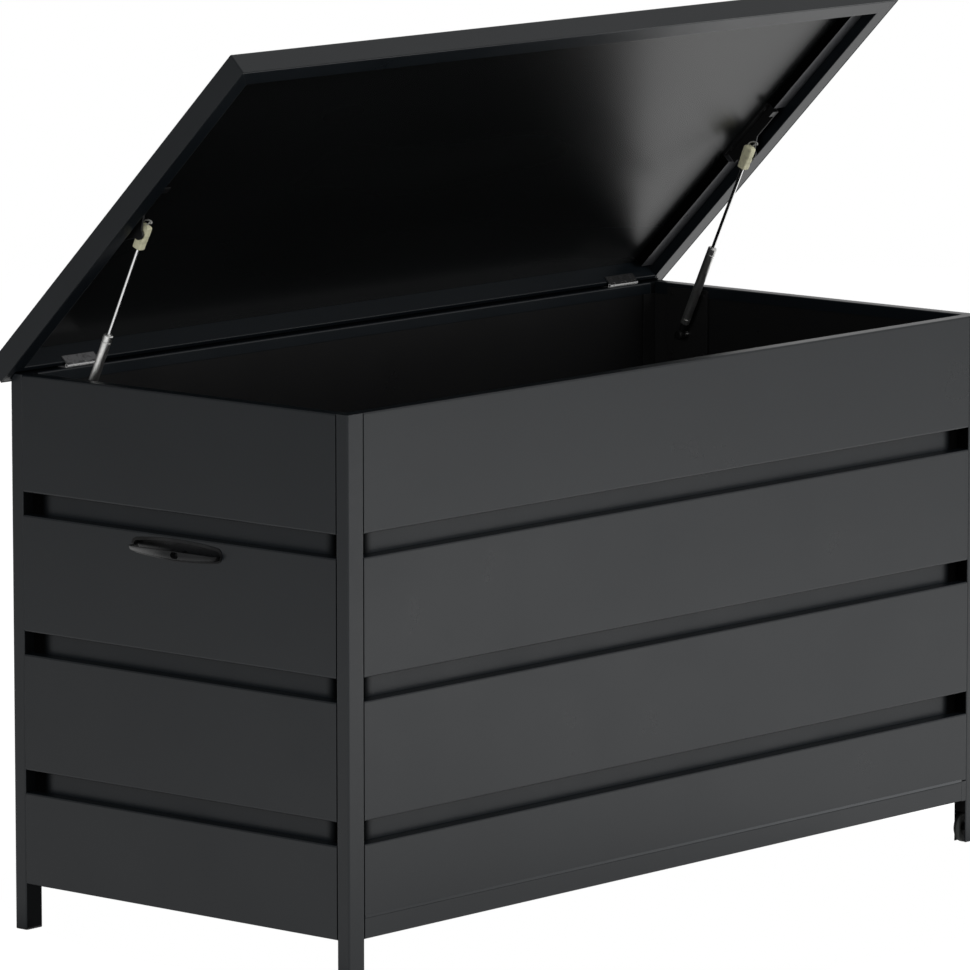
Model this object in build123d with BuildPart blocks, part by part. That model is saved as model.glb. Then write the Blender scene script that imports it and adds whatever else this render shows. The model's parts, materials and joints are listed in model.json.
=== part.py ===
from build123d import *

import math
import os

os.makedirs("parts", exist_ok=True)

# Rolling storage chest, millimetres. The origin is on the floor under the middle of the
# chest, +X runs along the front towards the wheels, -Y is the front and +Z is up.
# The lid is drawn where its gas struts hold it, lid_open_angle above the closed lid.

# Chest
chest_length = 1537.0
chest_depth = 700.0
floor_gap = 73.0  # floor to the underside of the rails
board_height = 182.4
groove = 35.4  # recess between two boards
bottom_zone = 144.6  # bottom board and rail together
seam = 0.4  # joint between parts that butt

# Posts and rails
post_width = 35.4  # along X
post_depth = 24.4  # along Y
post_wall = 1.8
post_radius = 3.0
rail_height = 32.6
rail_depth = 40.0
rail_wall = 1.8
rail_radius = 2.0
joist_width = 30.0
joist_count = 3
foot_flange = 3.0
foot_plug = 22.0
foot_plug_wall = 2.5
foot_slip = 0.15
foot_chamfer = 0.8

# Folded boards and liners
sheet = 1.5
bend = 3.0  # outside bend radius
wall_depth = 21.7  # face of a board to the back of its folds
fold_lip = 14.0
rim_width = 24.4
rim_lip = 19.0
liner_sheet = 1.2
floor_sheet = 2.0
angle_leg = 31.1
angle_sheet = 1.2

# Wheels
wheel_radius = 25.25
wheel_width = 8.8
wheel_setback = 11.6  # face of the post to the wheel
rim_radius = 16.0
tyre_fit = 0.1
tread_bevel = 2.0
hub_boss_radius = 7.0
hub_web = 3.0
axle_radius = 4.0
axle_clearance = 0.05
wheel_play = 0.5
post_clear = 3.0  # wheel post above the floor
fork_drop = 20.0  # fork block below the rails
fork_plug = 25.0
fork_slip = 0.1
front_cheek = 3.1
cheek_radius = 12.0
spacer_radius = 7.5
stub_length = 11.6  # welded stub between wheel post and rail

# Lid
lid_open_angle = 45.0
lid_height = 36.4
lid_overhang_side = 17.2
lid_overhang_front = 15.8
lid_overhang_rear = 9.4
lid_gap = 9.6  # rim to the closed lid
lid_skin = 1.5
lid_lining = 2.1
lid_member_width = 30.0
lid_member_wall = 1.5
lid_edge_radius = 2.5

# Hinges
hinge_length = 70.0
hinge_left_x = -631.0
hinge_right_x = 666.0
hinge_leaf = 1.8
hinge_leaf_height = 17.0
hinge_seat_width = 15.0
knuckle_radius = 3.0
hinge_lift = 0.3
hinge_pin_radius = 1.5
hinge_pin_clearance = 0.05
knuckle_count = 5
knuckle_gap = 0.4
hinge_screw_count = 3
hinge_screw_pitch = 24.0
countersink_radius = 3.8
slot_clearance = 1.5
lid_member_radius = 2.0

# Gas struts
strut_inset = 45.0  # end face to the plane of the strut
lower_ball_y = 252.5
lower_ball_drop = 82.0  # top of the chest to the lower ball
upper_ball_back = 377.5  # front of the lid to the upper ball
upper_ball_depth = 37.3  # top of the lid to the upper ball
ball_radius = 5.0
ball_clearance = 0.3
stud_radius = 2.5
stud_collar_radius = 5.0
stud_collar = 2.5
stud_face_clearance = 0.2  # upper stud to the lid bracket's web, where the linkage is open
socket_radius = 8.0
socket_neck_radius = 5.2
tube_radius = 7.5
tube_wall = 1.0
tube_start = 21.8  # lower ball to the tube
tube_length = 145.7
rod_radius = 3.0
rod_clearance = 0.08
rod_end = 27.6  # rod's end to the upper ball
piston_radius = 6.2
piston_length = 12.0
piston_gap = 1.0
tube_round = 1.5
tube_floor = 3.0
guide_length = 8.0
groove_from_end = 12.0
groove_from_start = 10.0
groove_radius = 0.9
socket_front = 4.5
socket_round = 3.0
socket_mouth = 4.2

# Strut brackets
plate_thickness = 3.0
chest_plate_width = 88.0
chest_plate_height = 120.0
chest_plate_top = 6.0  # top of the chest to the plate
lid_plate_length = 129.0
lid_plate_width = 34.0
lid_plate_front = 286.0  # front of the lid to the bracket
lid_web_inset = 33.0  # end face to the bracket's web
lid_web_depth = 24.5
ear_radius = 9.0
ear_base = 60.0
plate_corner = 4.0
chest_screw_pitch_y = 68.0
chest_screw_pitch_z = 100.0
lid_screw_pitch = 100.0
lid_screw_offset = 10.0
tab_reach = 15.0
tab_width = 12.0
tab_thickness = 1.5

# Handle
handle_length = 183.0
handle_rise = 14.0
handle_end_radius = 9.0
handle_proud = 14.0  # lip in front of the board
handle_sink = 12.0  # tray behind the board's face
handle_rounding = 7.0
handle_wall = 2.0
handle_below_edge = 21.2  # top of its board to the handle's lip
handle_flange = 3.0
handle_flange_thickness = 1.0
handle_slip = 0.3
handle_recess_length = 16.0
handle_recess_height = 10.4
handle_recess_offset = 7.0  # towards the front
handle_screw_drop = 6.0
handle_screw_seat = 3.0  # in front of the board's face
handle_screw_head_radius = 4.6

# Screws
screw_radius = 2.0
screw_hole_radius = 2.15
screw_head_radius = 3.8
screw_head = 1.8
screw_head_bevel = 0.7
screw_reach = 4.0  # past the piece it holds
spacer_boss_radius = 8.0

chest_height = floor_gap + bottom_zone + 3 * (board_height + groove)
half_length = chest_length / 2
half_depth = chest_depth / 2
rail_top = floor_gap + rail_height
floor_top = rail_top + floor_sheet
liner_inset = wall_depth + liner_sheet
lid_under = chest_height + lid_gap
lid_top = lid_under + lid_height
lid_half_length = half_length + lid_overhang_side
lid_depth = chest_depth + lid_overhang_front + lid_overhang_rear
member_inset = lid_skin + lid_member_width
hinge_y = half_depth + lid_overhang_rear - member_inset - hinge_leaf + knuckle_radius
hinge_z = chest_height + knuckle_radius + hinge_lift
turn = math.radians(lid_open_angle)

# The lid's own plane: origin on the hinge axis, x along the chest, y towards the back of
# the lid and z out of its top. Every piece of the lid is placed on planes taken from it.
lid_plane = Plane(
    origin=(0, hinge_y, hinge_z),
    x_dir=(1, 0, 0),
    z_dir=(0, math.sin(turn), math.cos(turn)),
)
lid_front = -half_depth - lid_overhang_front - hinge_y
lid_rear = half_depth + lid_overhang_rear - hinge_y
lid_low = lid_under - hinge_z
lid_high = lid_top - hinge_z


def lid_level(height):
    """Plane parallel to the lid's top, at a height over the hinge axis."""
    return lid_plane.offset(height)


def lid_section(x):
    """Plane across the lid at x: its x runs to the back of the lid, its y out of the top."""
    origin = lid_plane.from_local_coords((x, 0, 0))
    return Plane(origin=origin, x_dir=lid_plane.y_dir, z_dir=(1, 0, 0))


def write(piece, name):
    """Label a finished piece and write it to its own STEP file."""
    piece.part.label = name
    export_step(piece.part, f"parts/{name}.step")


def centred(low, high):
    """Middle and length of a stretch."""
    return (low + high) / 2, high - low


# ---------------------------------------------------------------- fixings

# Seats of the screws: planes whose origin is under the head and whose z comes out of it.
strut_x = half_length - strut_inset
lower_ball = Vector(0, lower_ball_y, chest_height - lower_ball_drop)
upper_ball_local = (0, lid_front + upper_ball_back, lid_high - upper_ball_depth)
upper_ball = lid_plane.from_local_coords(upper_ball_local)
lining_low = lid_high - lid_skin - lid_lining
lid_plate_x = half_length - (member_inset - lid_overhang_side + seam) - lid_plate_width / 2
lid_plate_middle = lid_front + lid_plate_front + lid_plate_length / 2
hinge_spots = (hinge_left_x, hinge_right_x)
knuckle_room = knuckle_radius + knuckle_gap
chest_screw_depth = plate_thickness + screw_reach
lid_screw_depth = plate_thickness + lid_lining - seam
hinge_screw_depth = hinge_leaf + screw_reach


def chest_plate_plane(side):
    """Back of the plate on an end wall: x along the wall, y up, z into the chest."""
    plate_middle = chest_height - chest_plate_top - chest_plate_height / 2
    origin = (side * (half_length - rim_width), lower_ball_y, plate_middle)
    return Plane(origin=origin, x_dir=(0, -side, 0), z_dir=(-side, 0, 0))


def shifted(plane, spots):
    """Copies of a plane moved to spots measured on it."""
    moved = []
    for spot in spots:
        origin = plane.from_local_coords((*spot, 0))
        moved.append(Plane(origin=origin, x_dir=plane.x_dir, z_dir=plane.z_dir))
    return moved


def chest_bracket_seats(side):
    """Back ends of the holes in the plate on an end wall."""
    reach_y = chest_screw_pitch_y / 2
    reach_z = chest_screw_pitch_z / 2
    spots = [(y, z) for y in (-reach_y, reach_y) for z in (-reach_z, reach_z)]
    return shifted(chest_plate_plane(side), spots)


def lid_bracket_seats(side):
    """Seats under the foot of the lid's bracket, facing down into the chest."""
    low = lining_low - plate_thickness
    seats = []
    for along in (-lid_screw_pitch / 2, lid_screw_pitch / 2):
        spot = (side * (lid_plate_x - lid_screw_offset), lid_plate_middle + along, low)
        origin = lid_plane.from_local_coords(spot)
        seats.append(Plane(origin=origin, x_dir=(1, 0, 0), z_dir=-lid_plane.z_dir))
    return seats


hinge_screw_spots = [
    spot + n * hinge_screw_pitch
    for spot in hinge_spots
    for n in range(-(hinge_screw_count // 2), hinge_screw_count // 2 + 1)
]
chest_leaf_seats = [
    Plane(origin=(x, hinge_y + knuckle_room + hinge_seat_width / 2, chest_height + hinge_leaf))
    for x in hinge_screw_spots
]
lid_leaf_screw_w = (knuckle_room + hinge_leaf + hinge_leaf_height) / 2
lid_leaf_seats = [
    Plane(
        origin=lid_plane.from_local_coords((x, -knuckle_radius, lid_leaf_screw_w)),
        x_dir=(1, 0, 0),
        z_dir=-lid_plane.y_dir,
    )
    for x in hinge_screw_spots
]


def bored(seats, depth):
    """Cylinders the width of a screw hole, from a little above the seats down to a depth."""
    with BuildPart() as cylinders:
        for seat in seats:
            with BuildSketch(seat.offset(screw_head)):
                Circle(screw_hole_radius)
            extrude(amount=-depth - screw_head)
    return cylinders


def chest_screw_holes(side):
    """Holes for the screws of the plate on an end wall."""
    seats = [seat.offset(plate_thickness) for seat in chest_bracket_seats(side)]
    return bored(seats, chest_screw_depth + seam)


def lid_screw_holes(side):
    """Holes for the screws of a lid bracket."""
    return bored(lid_bracket_seats(side), lid_screw_depth + seam)


# ---------------------------------------------------------------- posts and feet


def post(x, y, bottom):
    """Rectangular tube, open below and closed by a welded plate at the top."""
    with BuildPart() as tube:
        with BuildSketch(Plane.XY.offset(bottom)):
            with Locations((x, y)):
                RectangleRounded(post_width, post_depth, post_radius)
        extrude(amount=chest_height - bottom)
        with BuildSketch(Plane.XY.offset(bottom)):
            with Locations((x, y)):
                RectangleRounded(
                    post_width - 2 * post_wall,
                    post_depth - 2 * post_wall,
                    post_radius - post_wall / 2,
                )
        extrude(amount=chest_height - bottom - post_wall, mode=Mode.SUBTRACT)
    return tube


post_x = half_length - post_width / 2
post_y = half_depth - post_depth / 2

front_left_post = post(-post_x, -post_y, foot_flange)
rear_left_post = post(-post_x, post_y, foot_flange)
with BuildPart() as left_posts:
    add(front_left_post.part)
    add(rear_left_post.part)
write(left_posts, "left_posts")


def wheel_post(side):
    """Post whose side walls are cut away below the rails for the wheel, with a rail stub."""
    y = side * post_y
    tube = post(post_x, y, post_clear)
    stub_middle, stub_span = centred(half_length - post_width - stub_length, half_length - post_width)
    with BuildPart() as whole:
        add(tube.part)
        with BuildSketch(Plane.XY.offset(post_clear)):
            with Locations((post_x, y)):
                Rectangle(post_width, post_depth - 2 * post_wall)
        extrude(amount=floor_gap - post_clear, mode=Mode.SUBTRACT)
        with BuildSketch(Plane.YZ.offset(stub_middle - stub_span / 2)):
            with Locations((y, floor_gap + rail_height / 2)):
                Rectangle(post_depth, rail_height)
                Rectangle(
                    post_depth - 2 * post_wall,
                    rail_height - 2 * post_wall,
                    mode=Mode.SUBTRACT,
                )
        extrude(amount=stub_span)
    return whole


front_right_post = wheel_post(-1)
rear_right_post = wheel_post(1)
with BuildPart() as right_posts:
    add(front_right_post.part)
    add(rear_right_post.part)
write(right_posts, "right_posts")

plug_width = post_width - 2 * post_wall - 2 * foot_slip
plug_depth = post_depth - 2 * post_wall - 2 * foot_slip

with BuildPart() as post_feet:
    foot_spots = [(-post_x, -post_y), (-post_x, post_y)]
    with BuildSketch():
        with Locations(*foot_spots):
            RectangleRounded(post_width, post_depth, post_radius)
    extrude(amount=foot_flange)
    chamfer(post_feet.faces().sort_by(Axis.Z)[0:2].edges(), foot_chamfer)
    with BuildSketch(Plane.XY.offset(foot_flange)):
        with Locations(*foot_spots):
            RectangleRounded(plug_width, plug_depth, post_radius)
            Rectangle(
                plug_width - 2 * foot_plug_wall,
                plug_depth - 2 * foot_plug_wall,
                mode=Mode.SUBTRACT,
            )
    extrude(amount=foot_plug)
write(post_feet, "post_feet")

# ---------------------------------------------------------------- rails and floor

rail_left = -half_length + post_width + seam
rail_right = half_length - post_width - stub_length - seam
rail_y = half_depth - rail_depth / 2


def long_rail(side):
    """Bottom rail along the front or the back, from the left post to the wheel post's stub."""
    with BuildPart() as rail:
        with BuildSketch(Plane.YZ.offset(rail_left)):
            with Locations((side * rail_y, floor_gap + rail_height / 2)):
                RectangleRounded(rail_depth, rail_height, rail_radius)
                Rectangle(rail_depth - 2 * rail_wall, rail_height - 2 * rail_wall, mode=Mode.SUBTRACT)
        extrude(amount=rail_right - rail_left)
    return rail


front_rail = long_rail(-1)
rear_rail = long_rail(1)
write(front_rail, "front_rail")
write(rear_rail, "rear_rail")

cross_length = 2 * (half_depth - rail_depth - seam)
end_rail_width = rail_depth - wall_depth - seam
end_rail_x = half_length - rail_depth + end_rail_width / 2

with BuildPart() as end_rails:
    with BuildSketch(Plane.XZ.offset(-cross_length / 2)):
        with Locations(
            (-end_rail_x, floor_gap + rail_height / 2),
            (end_rail_x, floor_gap + rail_height / 2),
        ):
            Rectangle(end_rail_width, rail_height)
            Rectangle(end_rail_width - 2 * rail_wall, rail_height - 2 * rail_wall, mode=Mode.SUBTRACT)
    extrude(amount=cross_length)
write(end_rails, "end_rails")

joist_pitch = chest_length / (joist_count + 1)
with BuildPart() as floor_joists:
    with BuildSketch(Plane.XZ.offset(-cross_length / 2)):
        with Locations((0, floor_gap + rail_height / 2)):
            with GridLocations(joist_pitch, 1, joist_count, 1):
                Rectangle(joist_width, rail_height)
                Rectangle(
                    joist_width - 2 * rail_wall,
                    rail_height - 2 * rail_wall,
                    mode=Mode.SUBTRACT,
                )
    extrude(amount=cross_length)
write(floor_joists, "floor_joists")

floor_length = 2 * (half_length - liner_inset - seam)
floor_depth = 2 * (half_depth - liner_inset - seam)
with BuildPart() as floor_panel:
    with BuildSketch(Plane.XY.offset(rail_top)):
        Rectangle(floor_length, floor_depth)
        with GridLocations(2 * post_x, 2 * post_y, 2, 2):
            Rectangle(post_width + 2 * seam, post_depth + 2 * seam, mode=Mode.SUBTRACT)
    extrude(amount=floor_sheet)
write(floor_panel, "floor_panel")

# ---------------------------------------------------------------- folded boards

# Each wall has its own plane: x points into the chest from the outside face, y up.
wall_planes = {
    "front": Plane(origin=(0, -half_depth, 0), x_dir=(0, 1, 0), z_dir=(1, 0, 0)),
    "rear": Plane(origin=(0, half_depth, 0), x_dir=(0, -1, 0), z_dir=(-1, 0, 0)),
    "left": Plane(origin=(-half_length, 0, 0), x_dir=(1, 0, 0), z_dir=(0, -1, 0)),
    "right": Plane(origin=(half_length, 0, 0), x_dir=(-1, 0, 0), z_dir=(0, 1, 0)),
}
wall_spans = {
    "front": chest_length - 2 * (post_width + seam),
    "rear": chest_length - 2 * (post_width + seam),
    "left": chest_depth - 2 * (post_depth + seam),
    "right": chest_depth - 2 * (post_depth + seam),
}
board_pitch = board_height + groove
board_lows = {
    "top": chest_height - board_height,
    "upper": chest_height - board_height - board_pitch,
    "lower": chest_height - board_height - 2 * board_pitch,
}


def folded(plane, points, thickness, span):
    """Sheet folded along a path through its middle, centred on the plane and span long."""
    with BuildPart() as piece:
        with BuildSketch(plane):
            with BuildLine():
                FilletPolyline(*points, radius=bend - thickness / 2)
            trace(line_width=thickness)
        extrude(amount=span / 2, both=True)
    return piece


def board(wall, low, high):
    """Plain board: face, a fold at the top and bottom and two short lips behind."""
    near = sheet / 2
    far = wall_depth - sheet / 2
    path = [
        (far, low + fold_lip),
        (far, low + near),
        (near, low + near),
        (near, high - near),
        (far, high - near),
        (far, high - fold_lip),
    ]
    return folded(wall_planes[wall], path, sheet, wall_spans[wall])


def top_board(wall):
    """Top board: the sheet turns over the rim and down inside the chest as a lip."""
    low = board_lows["top"]
    high = chest_height
    near = sheet / 2
    far = wall_depth - sheet / 2
    inside = rim_width - sheet / 2
    path = [
        (far, low + fold_lip),
        (far, low + near),
        (near, low + near),
        (near, high - near),
        (inside, high - near),
        (inside, high - rim_lip),
    ]
    bent = folded(wall_planes[wall], path, sheet, wall_spans[wall])
    with BuildPart() as piece:
        add(bent.part)
        if wall == "rear":
            add(bored(chest_leaf_seats, hinge_screw_depth + seam).part, mode=Mode.SUBTRACT)
        if wall == "left":
            add(chest_screw_holes(-1).part, mode=Mode.SUBTRACT)
        if wall == "right":
            add(chest_screw_holes(1).part, mode=Mode.SUBTRACT)
    return piece


for wall in wall_planes:
    bottom_low = rail_top + seam if wall in ("front", "rear") else floor_gap
    write(board(wall, bottom_low, floor_gap + bottom_zone), f"{wall}_board_bottom")
    write(board(wall, board_lows["lower"], board_lows["lower"] + board_height), f"{wall}_board_lower")
    if wall != "left":
        write(board(wall, board_lows["upper"], board_lows["upper"] + board_height), f"{wall}_board_upper")
    write(top_board(wall), f"{wall}_board_top")

liner_top = chest_height - bend - seam


def liner(wall):
    """Flat sheet behind the boards, from the rail up behind the rim's lip."""
    with BuildPart() as panel:
        with BuildSketch(wall_planes[wall]):
            with Locations((wall_depth + liner_sheet / 2, (rail_top + liner_top) / 2)):
                Rectangle(liner_sheet, liner_top - rail_top)
        extrude(amount=wall_spans[wall] / 2, both=True)
    return panel


write(liner("front"), "front_liner")
write(liner("rear"), "rear_liner")
left_liner = liner("left")
right_liner = liner("right")
with BuildPart() as end_liners:
    add(left_liner.part)
    add(right_liner.part)
    add(chest_screw_holes(-1).part, mode=Mode.SUBTRACT)
    add(chest_screw_holes(1).part, mode=Mode.SUBTRACT)
write(end_liners, "end_liners")

angle_height = chest_height - rim_lip - seam - floor_top
with BuildPart() as corner_angles:
    with BuildSketch(Plane.XY.offset(floor_top)):
        corner = (-half_length + liner_inset, -half_depth + post_depth)
        with Locations(corner):
            Rectangle(angle_leg, angle_sheet, align=Align.MIN)
            Rectangle(angle_sheet, angle_leg, align=Align.MIN)
        mirror(about=Plane.YZ)
        mirror(about=Plane.XZ)
    extrude(amount=angle_height)
write(corner_angles, "corner_angles")

# ---------------------------------------------------------------- wheels


def across(y):
    """Plane facing the front at y; its x runs along the chest and its y up."""
    return Plane.XZ.offset(-y)


def post_slab(side, near, far):
    """Middle plane and thickness of a slab between two depths behind a wheel post's face."""
    middle, thickness = centred(near, far)
    return across(side * (half_depth - middle)), thickness


cheek_near = post_wall + fork_slip
cheek_far = post_depth - post_wall - fork_slip
wheel_near = wheel_setback
wheel_far = wheel_setback + wheel_width


def wheel_fork(side):
    """Moulded block in the post's end with two cheeks that hold the axle."""
    fork_low = floor_gap - fork_drop
    whole_plane, whole_thickness = post_slab(side, cheek_near, cheek_far)
    with BuildPart() as fork:
        with BuildSketch(whole_plane):
            with Locations((post_x, floor_gap - fork_drop / 2)):
                Rectangle(post_width, fork_drop)
        extrude(amount=whole_thickness / 2, both=True)
        with BuildSketch(Plane.XY.offset(floor_gap)):
            with Locations((post_x, side * post_y)):
                RectangleRounded(plug_width, plug_depth, post_radius)
        extrude(amount=fork_plug)
        for near, far in (
            (cheek_near, cheek_near + front_cheek),
            (wheel_far + wheel_play, cheek_far),
        ):
            cheek_plane, cheek_thickness = post_slab(side, near, far)
            with BuildSketch(cheek_plane):
                with Locations((post_x, (wheel_radius + fork_low) / 2)):
                    Rectangle(2 * cheek_radius, fork_low - wheel_radius)
                with Locations((post_x, wheel_radius)):
                    Circle(cheek_radius)
            extrude(amount=cheek_thickness / 2, both=True)
        spacer_plane, spacer_thickness = post_slab(side, cheek_near, wheel_near - wheel_play)
        with BuildSketch(spacer_plane):
            with Locations((post_x, wheel_radius)):
                Circle(spacer_radius)
        extrude(amount=spacer_thickness / 2, both=True)
        with BuildSketch(whole_plane):
            with Locations((post_x, wheel_radius)):
                Circle(axle_radius)
        extrude(amount=whole_thickness / 2, both=True, mode=Mode.SUBTRACT)
    return fork


front_fork = wheel_fork(-1)
rear_fork = wheel_fork(1)
with BuildPart() as wheel_forks:
    add(front_fork.part)
    add(rear_fork.part)
write(wheel_forks, "wheel_forks")

with BuildPart() as wheel_axles:
    for side in (-1, 1):
        axle_plane, axle_length = post_slab(side, cheek_near, cheek_far)
        with BuildSketch(axle_plane):
            with Locations((post_x, wheel_radius)):
                Circle(axle_radius)
        extrude(amount=axle_length / 2, both=True)
write(wheel_axles, "wheel_axles")


def tyre(side):
    """Rubber ring with a rounded tread."""
    middle = side * (half_depth - (wheel_near + wheel_far) / 2)
    with BuildPart() as ring:
        with BuildSketch(Plane.YZ.offset(post_x)):
            with Locations((middle, wheel_radius + (rim_radius + wheel_radius) / 2)):
                section = Rectangle(wheel_width, wheel_radius - rim_radius)
            chamfer(section.vertices().sort_by(Axis.Y)[-2:], tread_bevel)
        revolve(axis=Axis((post_x, middle, wheel_radius), (0, 1, 0)))
    return ring


def hub(side):
    """Wheel centre: bored boss, thin web and the rim under the tyre."""
    middle = side * (half_depth - (wheel_near + wheel_far) / 2)
    bore = axle_radius + axle_clearance
    with BuildPart() as disc:
        with BuildSketch(Plane.YZ.offset(post_x)):
            with Locations((middle, wheel_radius + (bore + hub_boss_radius) / 2)):
                Rectangle(wheel_width, hub_boss_radius - bore)
            with Locations((middle, wheel_radius + (hub_boss_radius + rim_radius) / 2)):
                Rectangle(hub_web, rim_radius - hub_boss_radius - tyre_fit)
            with Locations((middle, wheel_radius + rim_radius - tyre_fit - hub_web / 2)):
                Rectangle(wheel_width - 2 * tyre_fit, hub_web)
        revolve(axis=Axis((post_x, middle, wheel_radius), (0, 1, 0)))
    return disc


for name, side in (("front", -1), ("rear", 1)):
    write(tyre(side), f"{name}_tyre")
    write(hub(side), f"{name}_hub")

# ---------------------------------------------------------------- handle

# The outline is an oval of two end arcs joined by two long flat arcs that meet them
# smoothly: handle_bow is the long arcs' radius and handle_swing half the angle they turn.
handle_height = board_lows["upper"] + board_height - handle_below_edge
handle_plane = Plane(origin=(-half_length, 0, handle_height), x_dir=(0, -1, 0), z_dir=(-1, 0, 0))
handle_run = handle_length / 2 - handle_end_radius
handle_bow = (handle_run**2 + handle_rise**2 - handle_end_radius**2) / (
    2 * (handle_rise - handle_end_radius)
)
handle_swing = math.degrees(math.asin(handle_run / (handle_bow - handle_end_radius)))
handle_drop = handle_bow - handle_rise


def oval_slab(grow, thickness, rounding=0):
    """Slab on the board's face with the handle's outline grown by grow.

    A positive thickness goes out of the chest. The edge of the far side may be rounded.
    """
    with BuildPart() as slab:
        with BuildSketch(handle_plane):
            with BuildLine():
                for sign in (1, -1):
                    turned = 0 if sign == 1 else 180
                    CenterArc(
                        (0, sign * handle_drop),
                        handle_bow + grow,
                        270 - handle_swing + turned,
                        2 * handle_swing,
                    )
                    CenterArc(
                        (sign * handle_run, 0),
                        handle_end_radius + grow,
                        handle_swing - 90 + turned,
                        180 - 2 * handle_swing,
                    )
            make_face()
        extrude(amount=thickness)
        if rounding:
            outward = Axis((0, 0, 0), (-math.copysign(1, thickness), 0, 0))
            fillet(slab.faces().sort_by(outward)[-1].edges(), rounding)
    return slab


handle_front = oval_slab(0, handle_proud, handle_rounding)
handle_scoop = oval_slab(-handle_wall, handle_proud - handle_wall, handle_rounding - handle_wall)
handle_rim = oval_slab(handle_flange, handle_flange_thickness)
handle_tray = oval_slab(0, -handle_sink)
handle_pocket = oval_slab(-handle_wall, handle_wall - handle_sink, handle_wall)
handle_screw_plane = Plane(
    origin=handle_plane.from_local_coords((handle_recess_offset, -handle_screw_drop, 0)),
    x_dir=handle_plane.x_dir,
    z_dir=handle_plane.z_dir,
)

with BuildPart() as handle_lip:
    with BuildSketch(handle_plane):
        with Locations((0, -handle_rise)):
            Rectangle(handle_length, 2 * handle_rise)
    extrude(amount=handle_proud)
    add(handle_front.part, mode=Mode.INTERSECT)

with BuildPart() as handle_boss:
    with BuildSketch(handle_screw_plane):
        SlotOverall(
            handle_recess_length + 2 * handle_wall, handle_recess_height + 2 * handle_wall
        )
    extrude(amount=handle_proud)
    add(handle_lip.part, mode=Mode.INTERSECT)

with BuildPart() as handle:
    add(handle_lip.part)
    add(handle_rim.part)
    add(handle_tray.part)
    add(handle_scoop.part, mode=Mode.SUBTRACT)
    add(handle_pocket.part, mode=Mode.SUBTRACT)
    add(handle_boss.part)
    with BuildSketch(handle_screw_plane):
        Circle(handle_recess_height / 2)
    extrude(amount=handle_wall - handle_sink)
    with BuildSketch(handle_screw_plane.offset(handle_screw_seat)):
        SlotOverall(handle_recess_length, handle_recess_height)
    extrude(amount=handle_proud, mode=Mode.SUBTRACT)
    with BuildSketch(handle_screw_plane.offset(-handle_sink)):
        Circle(screw_hole_radius)
    extrude(amount=handle_sink + handle_proud, mode=Mode.SUBTRACT)
write(handle, "handle")

handle_hole = oval_slab(handle_slip, -handle_sink - handle_slip)
whole_board = board("left", board_lows["upper"], board_lows["upper"] + board_height)
with BuildPart() as left_board_upper:
    add(whole_board.part)
    add(handle_hole.part, mode=Mode.SUBTRACT)
write(left_board_upper, "left_board_upper")

# ---------------------------------------------------------------- hinges

knuckle_length = (hinge_length - (knuckle_count - 1) * knuckle_gap) / knuckle_count
knuckle_pitch = knuckle_length + knuckle_gap
pin_bore = hinge_pin_radius + hinge_pin_clearance


def hinge_section_plane(x):
    """Plane across the hinge at x: its x runs to the back of the chest, its y up."""
    return Plane(origin=(x, hinge_y, hinge_z), x_dir=(0, 1, 0), z_dir=(1, 0, 0))


def knuckle_starts(x, first):
    """Left ends of every other knuckle of a hinge centred on x."""
    left = x - hinge_length / 2
    return [left + n * knuckle_pitch for n in range(first, knuckle_count, 2)]


def leaf_screw_seats(seats, x):
    """Those seats that belong to the hinge centred on x."""
    return [seat for seat in seats if abs(seat.origin.X - x) < hinge_length / 2]


def chest_leaf(x):
    """Leaf that lies on the rim, with the outer and middle knuckles."""
    base_low = chest_height - hinge_z
    with BuildPart() as leaf:
        with BuildSketch(hinge_section_plane(x - hinge_length / 2)):
            with Locations((knuckle_room, base_low)):
                Rectangle(hinge_seat_width, hinge_leaf, align=Align.MIN)
        extrude(amount=hinge_length)
        for start in knuckle_starts(x, 0):
            with BuildSketch(hinge_section_plane(start)):
                Circle(knuckle_radius)
                with Locations((0, base_low)):
                    Rectangle(knuckle_room + hinge_leaf, hinge_leaf, align=Align.MIN)
                Circle(pin_bore, mode=Mode.SUBTRACT)
            extrude(amount=knuckle_length)
        with Locations(*leaf_screw_seats(chest_leaf_seats, x)):
            CounterSinkHole(screw_hole_radius, countersink_radius, depth=hinge_leaf)
    return leaf


def lid_leaf(x):
    """Leaf on the inside of the lid's rear member, with the knuckles between."""
    with BuildPart() as leaf:
        with BuildSketch(lid_section(x - hinge_length / 2)):
            with Locations((-knuckle_radius, knuckle_room)):
                Rectangle(hinge_leaf, hinge_leaf_height - knuckle_room, align=Align.MIN)
        extrude(amount=hinge_length)
        for start in knuckle_starts(x, 1):
            with BuildSketch(lid_section(start)):
                Circle(knuckle_radius)
                with Locations((-knuckle_radius, 0)):
                    Rectangle(hinge_leaf, knuckle_room + hinge_leaf, align=Align.MIN)
                Circle(pin_bore, mode=Mode.SUBTRACT)
            extrude(amount=knuckle_length)
        with Locations(*leaf_screw_seats(lid_leaf_seats, x)):
            CounterSinkHole(screw_hole_radius, countersink_radius, depth=hinge_leaf)
    return leaf


chest_leaves = [chest_leaf(x) for x in hinge_spots]
with BuildPart() as hinge_chest_leaves:
    for leaf in chest_leaves:
        add(leaf.part)
write(hinge_chest_leaves, "hinge_chest_leaves")

lid_leaves = [lid_leaf(x) for x in hinge_spots]
with BuildPart() as hinge_lid_leaves:
    for leaf in lid_leaves:
        add(leaf.part)
write(hinge_lid_leaves, "hinge_lid_leaves")

with BuildPart() as hinge_pins:
    for x in hinge_spots:
        with BuildSketch(hinge_section_plane(x - hinge_length / 2)):
            Circle(hinge_pin_radius)
        extrude(amount=hinge_length)
write(hinge_pins, "hinge_pins")

# ---------------------------------------------------------------- lid


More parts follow.
